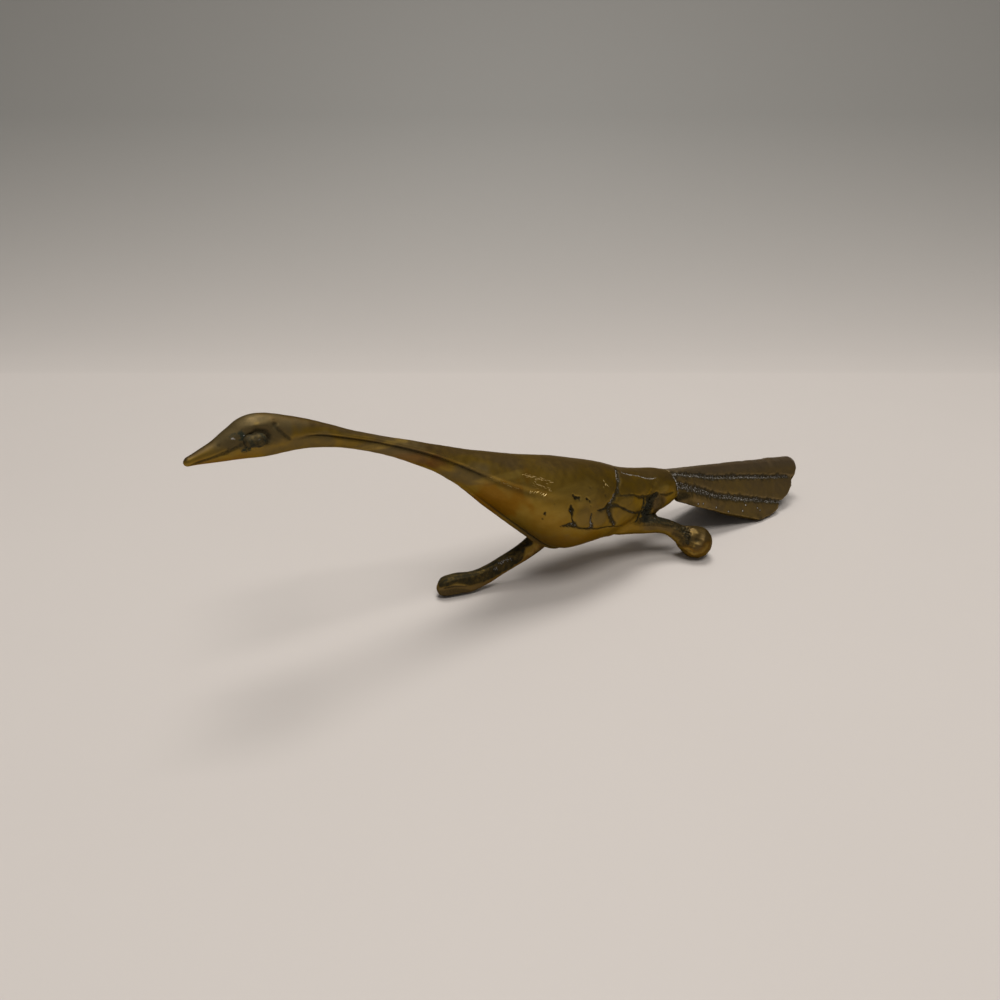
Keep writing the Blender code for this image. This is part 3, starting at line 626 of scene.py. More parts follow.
def ring_places():
    """Places of the body's rings, closer together at the round tip of the bill."""
    quarter = np.linspace(0, math.pi / 2, 9)
    tip = BILL_ROUNDING * (1 - np.cos(quarter))
    count = int((BODY_LENGTH - BILL_ROUNDING) / RING_STEP)
    end = BODY_LENGTH + JOINT_GAP
    return np.concatenate([tip, np.linspace(BILL_ROUNDING, end - 0.02, count)[1:]])


def carve_crease(casting, form, side, sizes):
    """Cut the crease of the neck and flank, with its lip above and its step below."""
    line, widths = form.line_on_side(CREASE, side, 0.6)
    reach = line_reach(casting.spots, line, widths)
    place = casting.spots[:, 0]
    above = ease((casting.spots[:, 2] - np.interp(place, line[:, 0], line[:, 2])) / 0.5 + 0.5)
    start = ease((place - CREASE_START) / 10)
    deep = start * ease((CREASE_DEEP_END - place) / 16)
    soft = start * ease((CREASE_END - place) / 26)
    cut = bell(reach / 0.7)
    step = np.exp(-reach / 2.4) * (1 - above)
    lip = bell((reach - 1.7) / 1.1) * above
    casting.rise += sizes.crease_lip / MM * lip * soft * ease((place - CREASE_START) / 34)
    casting.rise -= sizes.crease_depth / MM * ((0.75 * cut + step) * deep + 0.55 * bell(reach) * soft)
    # Painted shade in the crease, and a painted highlight along its lip
    casting.mark("grime_and_shade", 0.6 * deep * bell(reach / 0.8))
    casting.mark("grime_and_shade", 0.45 * soft * bell(reach / 0.9))
    casting.mark("wear_and_highlight", 0.35 * soft * lip)


def carve_body(casting, form, side, sizes):
    """Carve one half: crease, plates, lines, hollows, swellings and pits, and then its colours."""
    carve_crease(casting, form, side, sizes)
    for place, up, length, tall, rise in PLATES:
        strength = ease(1.6 * casting.cone(form.spot(place, up, side), (length, 6.0, tall)))
        casting.rise += rise * strength
        casting.mark("wear_and_highlight", 0.22 * strength)
    for seed, (flat, depth, dark, crusted) in enumerate(CARVED_LINES.values()):
        line, widths = form.line_on_side(flat, side)
        casting.carve(line, widths, depth * sizes.carving, dark, crusted, 20 + 3 * seed)
    # The hollows' darkness is painted shade
    for place, up, length, tall, depth, dark in HOLLOWS:
        strength = casting.cone(form.spot(place, up, side), (length, 6.0, tall))
        casting.rise -= depth * strength
        casting.mark("grime_and_shade", dark * ease(1.5 * strength - 0.3 + 0.16 * casting.uneven(1.4, 5)))
    for place, up, length, tall, rise in SWELLINGS:
        casting.rise += rise * casting.cone(form.spot(place, up, side), (length, 4.0, tall))
    for place, up, radius, depth, dark in PITS:
        reach = np.linalg.norm(casting.spots - form.spot(place, up, side), axis=1) / radius
        reach *= 1 + 0.3 * casting.uneven(0.9, 11)
        casting.rise -= depth * np.exp(-reach ** 4)
        casting.mark("grime_and_shade", dark * np.exp(-(0.8 * reach) ** 6))
    colour_body(casting, form, side)


def colour_body(casting, form, side):
    """Mark one half's patches of colour, and brown its upper part and paint it darker as shade."""
    for mask, patches in PATCHES.items():
        size = 0.9 if mask in ("green", "crust") else 6.0
        for place, up, length, tall, strength in patches:
            uneven = 0.25 * casting.uneven(size, int(place)) + 0.15 * casting.uneven(size / 3, int(up))
            core = casting.cone(form.spot(place, up, side), (length, 9.0, tall))
            casting.mark(mask, strength * ease(1.25 * core + uneven * ease(4 * core)))
    # The upper part is browned and painted darker as shade from above
    place, _, up = casting.spots.T
    height, half_depth, _ = form.section(place)
    upward = (up - height) / half_depth + 0.08 * casting.uneven(9.0, 8)
    casting.mark("browned_and_shaded", ease((upward - np.interp(place, BROWN_SHADE_PLACES, BROWN_SHADE_STARTS)) / 0.4))


def drape(line, surface):
    """Move a line onto a surface, with the distance that each of its spots has moved."""
    found = [surface.find_nearest(Vector(spot)) for spot in to_world(line)]
    return from_world([near[0] for near in found]), np.array([near[3] for near in found]) / MM


def lift_rump(casting, form):
    """Draw the underside of the rump's end up towards the tail."""
    place, _, up = casting.spots.T
    height, half_depth, _ = form.section(place)
    casting.spots[:, 2] += np.interp(place, *RUMP_LIFT) * ease((height - up) / half_depth)


def raise_burrs(name, side, form, surface, material):
    """Fine burrs that a file left on one half, each a sliver that tapers to both of its ends."""
    draw = np.random.default_rng(BURR_SEED)
    bm = bmesh.new()
    for first, last, stray, count, length, slope in FILE_LINES:
        for share in np.linspace(0, 1, count):
            place, up = np.array(first) + share * (np.array(last) - first) + draw.normal(size=2) * stray
            tilt = slope + draw.normal() * 0.12
            half = length * draw.uniform(0.25, 0.6) / math.hypot(1, tilt)
            slim = draw.uniform(0.5, 1.1)
            steps = np.linspace(-1, 1, BURR_STEPS)
            line = form.on_side([(place + step * half, up + step * half * tilt) for step in steps], side)
            along = Vector(line[-1] - line[0]).normalized()
            loops = []
            for step, spot in zip(steps, to_world(line)):
                foot, normal = surface.find_nearest(Vector(spot))[:2]
                taper = MM * slim * math.sqrt(1.04 - step * step)
                aside = normal.cross(along) * BURR_WIDTH * taper
                sunk = foot - normal * 0.3 * BURR_HEIGHT * MM
                crest = sunk + normal * 1.3 * BURR_HEIGHT * taper
                loops.append([bm.verts.new(corner) for corner in (sunk + aside, crest, sunk - aside)])
            for here, there in zip(loops, loops[1:]):
                for corner in range(3):
                    beside = (corner + 1) % 3
                    bm.faces.new((here[corner], here[beside], there[beside], there[corner]))
            bm.faces.new(loops[0])
            bm.faces.new(loops[-1][::-1])
    bmesh.ops.recalc_face_normals(bm, faces=bm.faces)
    mesh = bpy.data.meshes.new(name)
    bm.to_mesh(mesh)
    bm.free()
    return settle(name, mesh, material, ())


def cut_seam(casting, form, side, sizes):
    """Raise the thin strip under the breast and, on the left half, cut the dark joint beside it."""
    places = np.arange(30.0, 160.0, 1.5)
    height, half_depth, _ = form.section(places)
    spread = ease((places - SEAM_LEAVES) / 14)
    place = casting.spots[:, 0]
    open_part = ease((place - SEAM_OPENS) / 14) * ease((SEAM_CLOSES - place) / 8)
    strip = SEAM_STRIP if side == LEFT else 0.0
    line = np.stack([places, -strip * spread, height - half_depth], axis=-1)
    casting.rise += sizes.seam_strip / MM * open_part * casting.on_line(line, STRIP_WIDTH)
    if side == LEFT:
        line[:, 1] = -SEAM_JOINT * spread
        distance = casting.from_line(line, JOINT_WIDTH)
        casting.rise -= sizes.seam_depth / MM * open_part * bell(distance)
        casting.mark("grime_and_shade", (0.1 + 0.9 * open_part) * bell(distance / 1.1))


def signed_gap(tree, spot):
    """Distance in millimetres from a surface, below 0 inside it."""
    start = Vector(to_world(spot))
    place, normal, _, gap = tree.find_nearest(start)
    return gap / MM if (start - place).dot(normal) >= 0 else -gap / MM


def dive_into(casting, tree):
    """Sink the thin rim of a casting under the surface that it springs from."""
    for index, spot in enumerate(casting.spots):
        place, _, _, gap = tree.find_nearest(Vector(to_world(spot)))
        away = spot - from_world(place)
        if gap < DIVE_REACH * MM and signed_gap(tree, spot) > 0:
            casting.spots[index] -= away / (gap / MM) * DIVE_DEPTH * ease(1 - gap / MM / DIVE_REACH)


def leg_blank(form):
    """Even mesh of the trailing leg, whose thigh comes out of the flank without an edge."""
    mesh = refined_mesh("rear_leg")
    casting = open_casting(mesh)
    dive_into(casting, form.skin())
    mesh.vertices.foreach_set("co", to_world(casting.spots).ravel())
    mesh.update()
    return mesh


def flow_into(casting, tree, reach):
    """Swell a casting so that it flows smoothly into another surface where they meet."""
    spots = casting.spots
    near = [index for index in range(len(spots))
            if tree.find_nearest(Vector(to_world(spots[index])), reach * MM)[0] is not None]
    if not near:
        return
    rise = np.zeros(len(near))
    for _ in range(4):
        moved = spots[near] + casting.normals[near] * rise[:, None]
        gaps = np.array([signed_gap(tree, spot) for spot in moved])
        blend = np.minimum(rise, gaps) - np.maximum(reach - np.abs(rise - gaps), 0) ** 2 / (4 * reach)
        rise = np.clip(rise - blend, 0, reach / 4)
    casting.rise[near] += rise


def half_mesh(name, grid, casting):
    """Mesh of one half: the carved grid, its flat back and its two ends."""
    rings, count = grid.shape[:2]
    faces = []
    for ring in range(rings - 1):
        row = ring * count
        faces += grid_strip(row, count)
        faces.append((row + count - 1, row, row + count, row + 2 * count - 1))
    faces.append(tuple(range(count)))
    faces.append(tuple(range((rings - 1) * count, rings * count))[::-1])
    mesh = bpy.data.meshes.new(name)
    mesh.from_pydata(to_world(grid.reshape(-1, 3)).tolist(), [], faces)
    add_masks(mesh, casting.masks)
    bm = bmesh.new()
    bm.from_mesh(mesh)
    bmesh.ops.recalc_face_normals(bm, faces=bm.faces)
    bm.to_mesh(mesh)
    bm.free()
    return mesh


def half_casting(name, side, form, others, material, sizes):
    """Build and carve one half of the bird."""
    angles = np.linspace(math.pi / 2, -math.pi / 2, HALF_ANGLES)
    places = ring_places()
    grid = form.spots(places[:, None], angles[None, :], side)
    casting = Casting(grid.reshape(-1, 3), grid_normals(grid, side).reshape(-1, 3))
    carve_body(casting, form, side, sizes)
    cut_seam(casting, form, side, sizes)
    lift_rump(casting, form)
    for surface, reach in others:
        flow_into(casting, surface, reach)
    casting.rise += sizes.ripple / MM * (casting.uneven(6.0, 3) + 0.35 * casting.uneven(1.8, 4))
    end_shadow(casting, BODY_LENGTH)
    carved = casting.finish().reshape(grid.shape)
    carved[:, (0, -1), 1] = side * SEAM_GAP
    carved[:, :, 1] = side * np.maximum(side * carved[:, :, 1], SEAM_GAP)
    mesh = half_mesh(name, carved, casting)
    return settle(name, mesh, material, (name.replace("_casting", ""),))


def end_shadow(casting, end):
    """Painted shade and crust beside one end, where the tail's side feathers spring from the rump."""
    place, across, up = casting.spots.T
    gap = np.abs(place - end)
    aside = ease((np.abs(across) - 2.4) / 1.2) * ease((up - 19.5) / 2)
    uneven = 0.75 + 0.35 * casting.uneven(1.5, 15)
    casting.mark("grime_and_shade", 0.9 * aside * uneven * bell(gap / 2.0))
    casting.mark("crust", 0.6 * aside * uneven * bell(gap / 0.9))


def refined_mesh(node):
    """Copy of a solid's mesh with small even faces and eased edges."""
    size, rounds = REBUILT[node]
    bm = bmesh.new()
    bm.from_mesh(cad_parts[node].data)
    bmesh.ops.remove_doubles(bm, verts=bm.verts, dist=0.001 * MM)
    mesh = bpy.data.meshes.new(node + "_rough")
    bm.to_mesh(mesh)
    bm.free()
    draft = add_object(node + "_rough", mesh)
    remesh = draft.modifiers.new("even", "REMESH")
    remesh.mode = "VOXEL"
    remesh.voxel_size = size * MM
    smooth = draft.modifiers.new("ease", "SMOOTH")
    smooth.factor = 0.5
    smooth.iterations = rounds
    return bake(draft)


def open_casting(mesh):
    """Casting made from a mesh, ready to be carved."""
    count = len(mesh.vertices)
    places = np.empty(count * 3)
    normals = np.empty(count * 3)
    mesh.vertices.foreach_get("co", places)
    mesh.vertex_normals.foreach_get("vector", normals)
    return Casting(from_world(places.reshape(-1, 3)), normals.reshape(-1, 3))


def close_casting(casting, mesh, name, material, nodes):
    """Write a carved casting back to its mesh and settle the piece."""
    mesh.vertices.foreach_set("co", to_world(casting.finish()).ravel())
    mesh.update()
    mesh.name = name
    add_masks(mesh, casting.masks)
    return settle(name, mesh, material, nodes)


def front_leg_casting(form, material, sizes):
    """The straight front leg: a rough, dark, flat inner face in a golden rim of wear and painted reflection.
    """
    mesh = refined_mesh("front_leg")
    casting = open_casting(mesh)
    flow_into(casting, form.skin(), sizes.leg_blend / MM)
    place, _, up = casting.spots.T
    _, aside, upward = casting.normals.T
    rough = casting.uneven(2.4, 41)
    fine = casting.uneven(0.9, 42)
    rim = np.interp(place, *np.array(LEG_RIM).T)
    face = ease((up - rim + 0.25 * rough) / 1.1 + 0.3)
    root = ease((106.6 - place + 1.2 * rough + 3.4 * ease((up - 11.5) / 3)) / 3.4)
    toe = ease((86 - place) / 6)
    casting.spots[:, 2] += TOE_LIFT * toe * ease((2.6 - up) / 2.2) * ease((0.3 - aside) / 0.8)
    casting.spots[:, 2] -= TOE_DROP * ease((77.5 - place) / 5) * ease((up - 3.0) / 2.4)
    casting.rise += 0.4 * toe * ease((place - 73) / 3) * ease((upward - 0.2) / 0.6)
    casting.rise += ease((-aside - 0.2) / 0.5) * face * (0.05 * rough + 0.035 * fine - 0.12)
    casting.rise += sizes.ripple / MM * casting.uneven(4.0, 43)
    # The dark face is grime; the leg's low part and the toe's bottom get painted shade
    casting.mark("grime_and_shade", 0.84 * face * root * (0.85 + 0.15 * fine + 0.1 * rough),
                 0.55 - 0.35 * ease((up - rim + 2.0) / 1.2), 0.5 * toe * ease((1.6 - up) / 1.4))
    casting.mark("browned_and_shaded", 0.8 * (1 - face))
    casting.mark("dull_and_shade", 0.5 * face * root)
    casting.mark("green", 0.4 * face * root)
    # Rubbed brass on the rim, and rubbed brass with painted glints at the root
    casting.mark("wear_and_highlight", 0.22 * (1 - face) * ease((95 - place) / 10),
                 0.5 * (1 - root) * ease(0.5 + 0.5 * fine))
    # Painted reflection of the floor on the golden rim
    casting.mark("amber_tint_and_reflection", 0.7 * (1 - face) * ease((place - 84) / 10))
    casting.stroke(FRONT_STROKES)
    crack = curve_through(FRONT_CRACK, 0.5)
    casting.carve(crack, np.full(len(crack), 0.4), 0.7, 1.0, 0.0, 44)
    haze = casting.on_line(curve_through(FRONT_HAZE, 0.5), 1.2)
    casting.mark("crust", 0.5 * haze * (0.7 + 0.3 * fine))
    return close_casting(casting, mesh, "front_leg_casting", material, ("front_leg",))


def rear_leg_casting(form, material, sizes):
    """The trailing leg: round foot, rough hollow behind the ankle, rubbed ridge with a painted highlight."""
    mesh = leg_blank(form)
    casting = open_casting(mesh)
    flow_into(casting, form.skin(), sizes.leg_blend / MM)
    surface = mesh_surface(mesh)
    for seed, (flat, depth, dark, crusted) in enumerate(CARVED_LINES.values()):
        line, widths = form.line_on_side(flat, LEFT)
        draped, moved = drape(line, surface)
        near = moved < THIGH_OVER
        if np.sum(near) > 1:
            casting.carve(draped[near], widths[near], depth * sizes.carving, dark, crusted, 20 + 3 * seed)
    colour_body(casting, form, LEFT)
    place = casting.spots[:, 0]
    upward = casting.normals[:, 2]
    for values in casting.masks.values():
        values *= 1 - ease((place - 150) / 6)
    casting.stroke(REAR_STROKES)
    for middle, radii, rise, mask, strength in FOOT_SPOTS:
        share = casting.cone(np.array(middle), radii)
        casting.rise += rise * share
        casting.mark(mask, strength * share)
    hollow = curve_through(REAR_HOLLOW, 0.4)
    casting.carve(hollow, np.linspace(1.5, 1.0, len(hollow)), 0.6, 0.75, 0.2, 54)
    fine = casting.uneven(0.8, 52)
    beyond = ease((place - 142) / 8)
    top = ease((upward - 0.1) / 0.5) * ease((place - 142) / 5)
    ankle = ease((place - 158.5) / 2) * ease((165.5 - place) / 2.5)
    # Darkens the foot, the leg past the thigh, the top of the shank and the ankle
    casting.mark("grime_and_shade", 0.44 * ease((place - 161) / 4), beyond * (0.3 + 0.12 * casting.uneven(3.0, 55)),
                 0.85 * top * ease((165 - place) / 3) * (0.9 + 0.2 * fine),
                 0.5 * ankle * ease(0.5 + 0.6 * fine))
    casting.mark("amber_tint_and_reflection", 0.35 * ease((152 - place) / 8))
    casting.mark("green", 0.5 * top * ease((160 - place) / 4))
    # Browns the leg past the thigh and paints it darker as shade, except on its underside
    casting.mark("browned_and_shaded", 0.8 * beyond * ease((upward + 0.6) / 0.6))
    casting.rise += sizes.ripple / MM * casting.uneven(4.0, 53)
    casting.spots[:, 2] += np.interp(place, *THIGH_LIFT) * ease((0.2 - upward) / 0.9)
    return close_casting(casting, mesh, "rear_leg_casting", material, ("rear_leg",))


def tail_line(surface, flat, side):
    """Line on top of the fan through a few points given behind the bill and across."""
    rows = curve_through(flat, 0.8)
    found = [first_hit(surface, (place, side * across, TAIL_ABOVE), (0, 0, -1)) for place, across in rows]
    return np.array([spot for spot in found if spot is not None])


def tail_casting(form, material, sizes):
    """The fan of five feathers: crusted grooves, a browned top with painted shade, painted shade below it."""
    mesh = refined_mesh("tail_fan")
    casting = open_casting(mesh)
    flow_into(casting, form.skin(), sizes.tail_blend / MM)
    surface = node_surface("tail_fan")
    upper = casting.normals[:, 2] > -0.1
    place = casting.spots[:, 0]
    across = np.abs(casting.spots[:, 1])
    lines = []
    for side in (LEFT, RIGHT):
        for number, flat in enumerate(TAIL_GROOVES):
            line = tail_line(surface, flat, side)
            lines.append(line)
            widths = np.interp(line[:, 0], (TAIL_ROOT, 180, 225, 240), (1.4, 1.25, 1.2, 0.8))
            casting.carve(line, widths, 0.38, 0.8, 0.36, 60 + number)
            casting.mark("grime_and_shade", 0.3 * casting.on_line(line, 1.5))
        for behind, beside in TAIL_FLECKS:
            middle = first_hit(surface, (behind, side * beside, TAIL_ABOVE), (0, 0, -1))
            fleck = np.linalg.norm(casting.spots - middle, axis=1) / 0.34
            casting.mark("crust", bell(fleck))
            casting.mark("grime_and_shade", 0.8 * bell(fleck / 2.2))
    end_shadow(casting, TAIL_ROOT)
    root = ease((across - 5.2) / 2.4) * ease((180 - place) / 12 + 0.3 * casting.uneven(2.2, 64))
    swell = ease((place - 226) / 4) * ease((246 - place) / 3) * ease((5.5 - across) / 3)
    casting.rise += 0.45 * swell * upper
    outer = ease((across - np.interp(place, (168, 185, 226), (6.4, 9.4, 13.0))) / 2.5)
    # Painted shade at the root's low edge, under the fan and along its outer edges
    casting.mark("grime_and_shade", 0.8 * root, 0.7 * ~upper, 0.5 * outer * (0.6 + 0.4 * casting.uneven(1.6, 63)))
    casting.mark("red", 0.35 * ease((4.5 - across) / 3) * ease((place - 172) / 20) * upper)
    casting.mark("browned_and_shaded", upper * (0.45 + 0.5 * ease((5.0 - across) / 3)))
    casting.mark("dull_and_shade", 0.3 * ease((place - 175) / 30))
    casting.rise += sizes.ripple / MM * (1.2 * casting.uneven(5.0, 61) + 0.5 * casting.uneven(1.6, 62))
    rim = np.interp(place, (168, 185, 226), (3.0, 6.0, 9.0))
    casting.spots[:, 2] -= np.interp(place, *FAN_DROOP) * ease((across - rim) / 3.5)
    return close_casting(casting, mesh, "tail_casting", material, ("tail_fan",)), lines


def eye_casting(node, material):
    """A rough, corroded eye, squarer than an egg."""
    mesh = refined_mesh(node)
    casting = open_casting(mesh)
    low, high = casting.spots.min(axis=0), casting.spots.max(axis=0)
    flat = ((casting.spots - (low + high) / 2) / (high - low) * 2)[:, (0, 2)]
    radius = np.maximum(np.linalg.norm(flat, axis=1), 1e-6)
    corner = np.abs(flat[:, 0] * flat[:, 1]) / radius ** 2
    casting.rise += 0.5 * corner * radius ** 2
    casting.rise += 0.14 * casting.uneven(1.7, 71) + 0.05 * casting.uneven(0.6, 73)
    casting.mark("dull_and_shade", np.ones(len(casting.spots)))
    # Grime all over, and painted shade where the eye turns away from its side
    casting.mark("grime_and_shade", 0.58 + 0.12 * casting.uneven(0.9, 76),
                 0.6 * ease((0.75 - np.abs(casting.normals[:, 1])) / 0.5))
    casting.mark("crust", 0.18 * ease(0.2 + 0.7 * casting.uneven(0.9, 75)))
    casting.mark("green", ease(0.35 + 0.6 * casting.uneven(1.3, 74)) * 0.7)
    return close_casting(casting, mesh, node + "_casting", material, (node,))


def add_node(tree, kind, settings=None, inputs=None):
    """Add one node, with its settings first and then its sockets' values or links."""
    made = tree.nodes.new(kind)
    for name, setting in (settings or {}).items():
        setattr(made, name, setting)
    for name, value in (inputs or {}).items():
        feed(tree, made.inputs[name], value)
    return made


def feed(tree, socket, value):
    """Link a value to a socket, or set it."""
    if isinstance(value, Value):
        value = value.socket
    if isinstance(value, bpy.types.NodeSocket):
        tree.links.new(value, socket)
    elif socket.type == "RGBA":
        socket.default_value = (*value, 1.0)
    else:
        socket.default_value = value


class Value:
    """A shader value that can stand in plain arithmetic."""

    def __init__(self, maker, socket):
        self.maker = maker
        self.socket = socket

    def __add__(self, other):
        return self.maker.maths("ADD", self, other)

    def __sub__(self, other):
        return self.maker.maths("SUBTRACT", self, other)

    def __rsub__(self, other):
        return self.maker.maths("SUBTRACT", other, self)

    def __mul__(self, other):
        return self.maker.maths("MULTIPLY", self, other)

    __radd__ = __add__
    __rmul__ = __mul__

    def linear(self, low, high):
        """Rise evenly from 0 to 1 as the value goes from low to high."""
        return self.maker.map_range(self, low, high, "LINEAR")

    def bounded(self, low, high):
        """Rise smoothly from 0 to 1 as the value goes from low to high."""
        return self.maker.map_range(self, low, high, "SMOOTHSTEP")


class Maker:
    """Makes the nodes of one material."""

    def __init__(self, name):
        self.material = bpy.data.materials.new(name)
        self.material.use_nodes = True
        self.tree = self.material.node_tree
        self.coords = self.node("ShaderNodeTexCoord").outputs["Object"]

    def node(self, kind, settings=None, inputs=None):
        """Add one node to the material."""
        return add_node(self.tree, kind, settings, inputs)

    def maths(self, operation, first, second):
        """Work out one value from two."""
        node = self.node("ShaderNodeMath", {"operation": operation}, {0: first, 1: second})
        return Value(self, node.outputs[0])

    def map_range(self, value, low, high, kind):
        """Go from 0 to 1 as a value goes from low to high."""
        inputs = {"Value": value, "From Min": low, "From Max": high}
        return Value(self, self.node("ShaderNodeMapRange", {"interpolation_type": kind}, inputs).outputs[0])

    def noise(self, size, detail=3.0, stretch=None):
        """Noise whose bumps are of one size in metres, and can be stretched along an axis."""
        coords = self.coords
        if stretch:
            coords = self.node("ShaderNodeMapping", None, {"Vector": coords, "Scale": stretch}).outputs[0]
        inputs = {"Vector": coords, "Scale": 1 / size, "Detail": detail, "Roughness": NOISE_ROUGHNESS}
        return Value(self, self.node("ShaderNodeTexNoise", None, inputs).outputs[0])

    def mask(self, name):
        """Colour mask stored on the piece's points."""
        settings = {"attribute_type": "GEOMETRY", "attribute_name": name}
        return Value(self, self.node("ShaderNodeAttribute", settings).outputs["Fac"])

    def blend(self, share, first, second):
        """Mix two colours."""
        node = self.node("ShaderNodeMix", {"data_type": "RGBA"}, {0: share, 6: first, 7: second})
        return node.outputs[2]

    def bump(self, height, strength, depth):
        """Fine relief of the surface, with its depth in metres."""
        inputs = {"Strength": strength, "Distance": depth, "Height": height}
        return self.node("ShaderNodeBump", None, inputs).outputs[0]

    def finish(self, inputs):
        """Feed the shader and hand over the material."""
        shader = self.tree.nodes["Principled BSDF"]
        for name, value in inputs.items():
            feed(self.tree, shader.inputs[name], value)
        return self.material


def old_brass(name, colours, sheen):
    """Handled brass: browning, warm tint, grime, green crust, dried polish, painted shade and highlights."""
    maker = Maker(name)
    cloud = maker.noise(24 * MM, 3.0)
    mottle = maker.noise(2.4 * MM, 4.0)
    grain = maker.noise(0.4 * MM, 3.0)
    filing = maker.noise(0.5 * MM, 2.0, stretch=(0.12, 1.0, 0.7))
    speck = maker.noise(0.5 * MM, 2.0)
    masks = {mask: maker.mask(mask) for mask in Casting.MASKS}
    # Browned parts are painted darker, partly as shade
    light = cloud * 0.45 + mottle * 0.3 + grain * 0.25 + 0.16 - masks["browned_and_shaded"] * 0.32
    amber_tint_and_reflection = (masks["amber_tint_and_reflection"] * (0.7 + mottle * 0.5)).bounded(0.05, 1.0)
    red = (masks["red"] * (0.5 + mottle)).bounded(0.1, 1.0)
    dulled_and_shaded = (masks["dull_and_shade"] * (0.5 + mottle)).bounded(0.1, 1.0)
    rubbed_and_highlit = (masks["wear_and_highlight"] * (0.55 + filing * 0.8)).bounded(0.05, 1.1)
    green = (masks["green"] * (0.1 + speck * 1.5)).bounded(0.15, 0.9)
    grime_and_shade = (masks["grime_and_shade"] * (0.55 + speck * 0.7)).bounded(0.05, 0.85)
    crusted = (masks["crust"] * 0.55 + speck - 0.50).bounded(0.15, 0.42)
    crust = crusted * masks["crust"].bounded(0.05, 0.45) * 0.85
    colour = maker.blend(light.bounded(0.36, 0.74), colours.dark, colours.olive)
    for share, tint in ((amber_tint_and_reflection, colours.amber_tint_and_reflection), (red, colours.red), (dulled_and_shaded, colours.dull_and_shade),
                        (rubbed_and_highlit, colours.bright), (green, colours.green), (grime_and_shade * 0.92, colours.grime_and_shade),
                        (crust, colours.crust)):
        colour = maker.blend(share, colour, tint)
    pores = maker.noise(0.9 * MM, 1.0).bounded(0.30, 0.22)
    matt = 0.40 + mottle * 0.10 + grime_and_shade * 0.2 + dulled_and_shaded * 0.15 + green * 0.2 + crust * 0.3
    metal = 1.0 - (grime_and_shade * 0.5 + dulled_and_shaded * 0.4 + green * 0.8).bounded(0.0, 1.6) - crust * 0.8
    height = grain * 0.4 + filing * 0.35 + mottle * 1.2 - pores * 0.5 + crust * 1.5 + grime_and_shade * grain * 0.8
    return maker.finish({"Base Color": colour, "Roughness": matt, "Metallic": metal.bounded(0.0, 1.0),
                         "Normal": maker.bump(height, 0.4, 0.04 * MM),
                         "Specular IOR Level": 0.15, "Specular Tint": EDGE_TINT,
                         "Coat Weight": masks["browned_and_shaded"] * (1.0 - grime_and_shade) * sheen, "Coat Roughness": 0.4})


def filed_brass(name, colours):
    """Bare brass of the burrs."""
    maker = Maker(name)
    tone = maker.noise(0.6 * MM, 2.0)
    colour = maker.blend(tone.bounded(0.3, 0.6), colours.bright, colours.filed)
    return maker.finish({"Base Color": colour, "Roughness": 0.26 + tone * 0.15, "Metallic": 1.0})


def turned_brass(name, colours):
    """Plain brass with the fine rings that a lathe leaves."""
    maker = Maker(name)
    rings = maker.noise(0.25 * MM, 2.0, stretch=(1.0, 4.0, 1.0))
    colour = maker.blend(maker.noise(3 * MM), colours.olive, colours.plain)
    return maker.finish({"Base Color": colour, "Roughness": 0.28 + rings * 0.15, "Metallic": 1.0,
                         "Normal": maker.bump(rings, 0.3, 0.03 * MM)})


def dried_polish(name, colours):
    """Pale, powdery polish dried in a groove, greyer where grime has reached it."""
    maker = Maker(name)
    tone = maker.noise(0.8 * MM, 3.0)
    colour = maker.blend(tone.bounded(0.25, 0.55), colours.grime_and_shade, colours.crust)
    return maker.finish({"Base Color": colour, "Roughness": 0.75 + tone * 0.15,
                         "Normal": maker.bump(maker.noise(0.12 * MM), 0.6, 0.03 * MM)})


def stage_surface(name, colour, shaded_wall):
    """Matt board with a faint unevenness, painted darker towards the wall's colour as it rises, as shade."""
    maker = Maker(name)
    grain = maker.noise(0.8 * MM, 2.0)
    darker = tuple(0.955 * channel for channel in colour)
    board = maker.blend(maker.noise(0.16, 3.0), darker, colour)
    split = maker.node("ShaderNodeSeparateXYZ", None, {"Vector": maker.coords})
    rise = maker.maths("MAXIMUM", Value(maker, split.outputs[2]), 0.0)
    share = maker.maths("POWER", rise, WALL_CURVE).linear(0.0, WALL_FULL ** WALL_CURVE)
    return maker.finish({"Base Color": maker.blend(share, board, shaded_wall), "Roughness": 0.55 + grain * 0.1,
                         "Normal": maker.bump(grain, 0.06, 0.1 * MM), "Specular IOR Level": 0.25})


def random_scale(tree, low, high, seed):
    """Three random values for each point, each between its own bounds."""
    inputs = {"Min": low, "Max": high, "Seed": seed}
    return add_node(tree, "FunctionNodeRandomValue", {"data_type": "FLOAT_VECTOR"}, inputs).outputs[0]


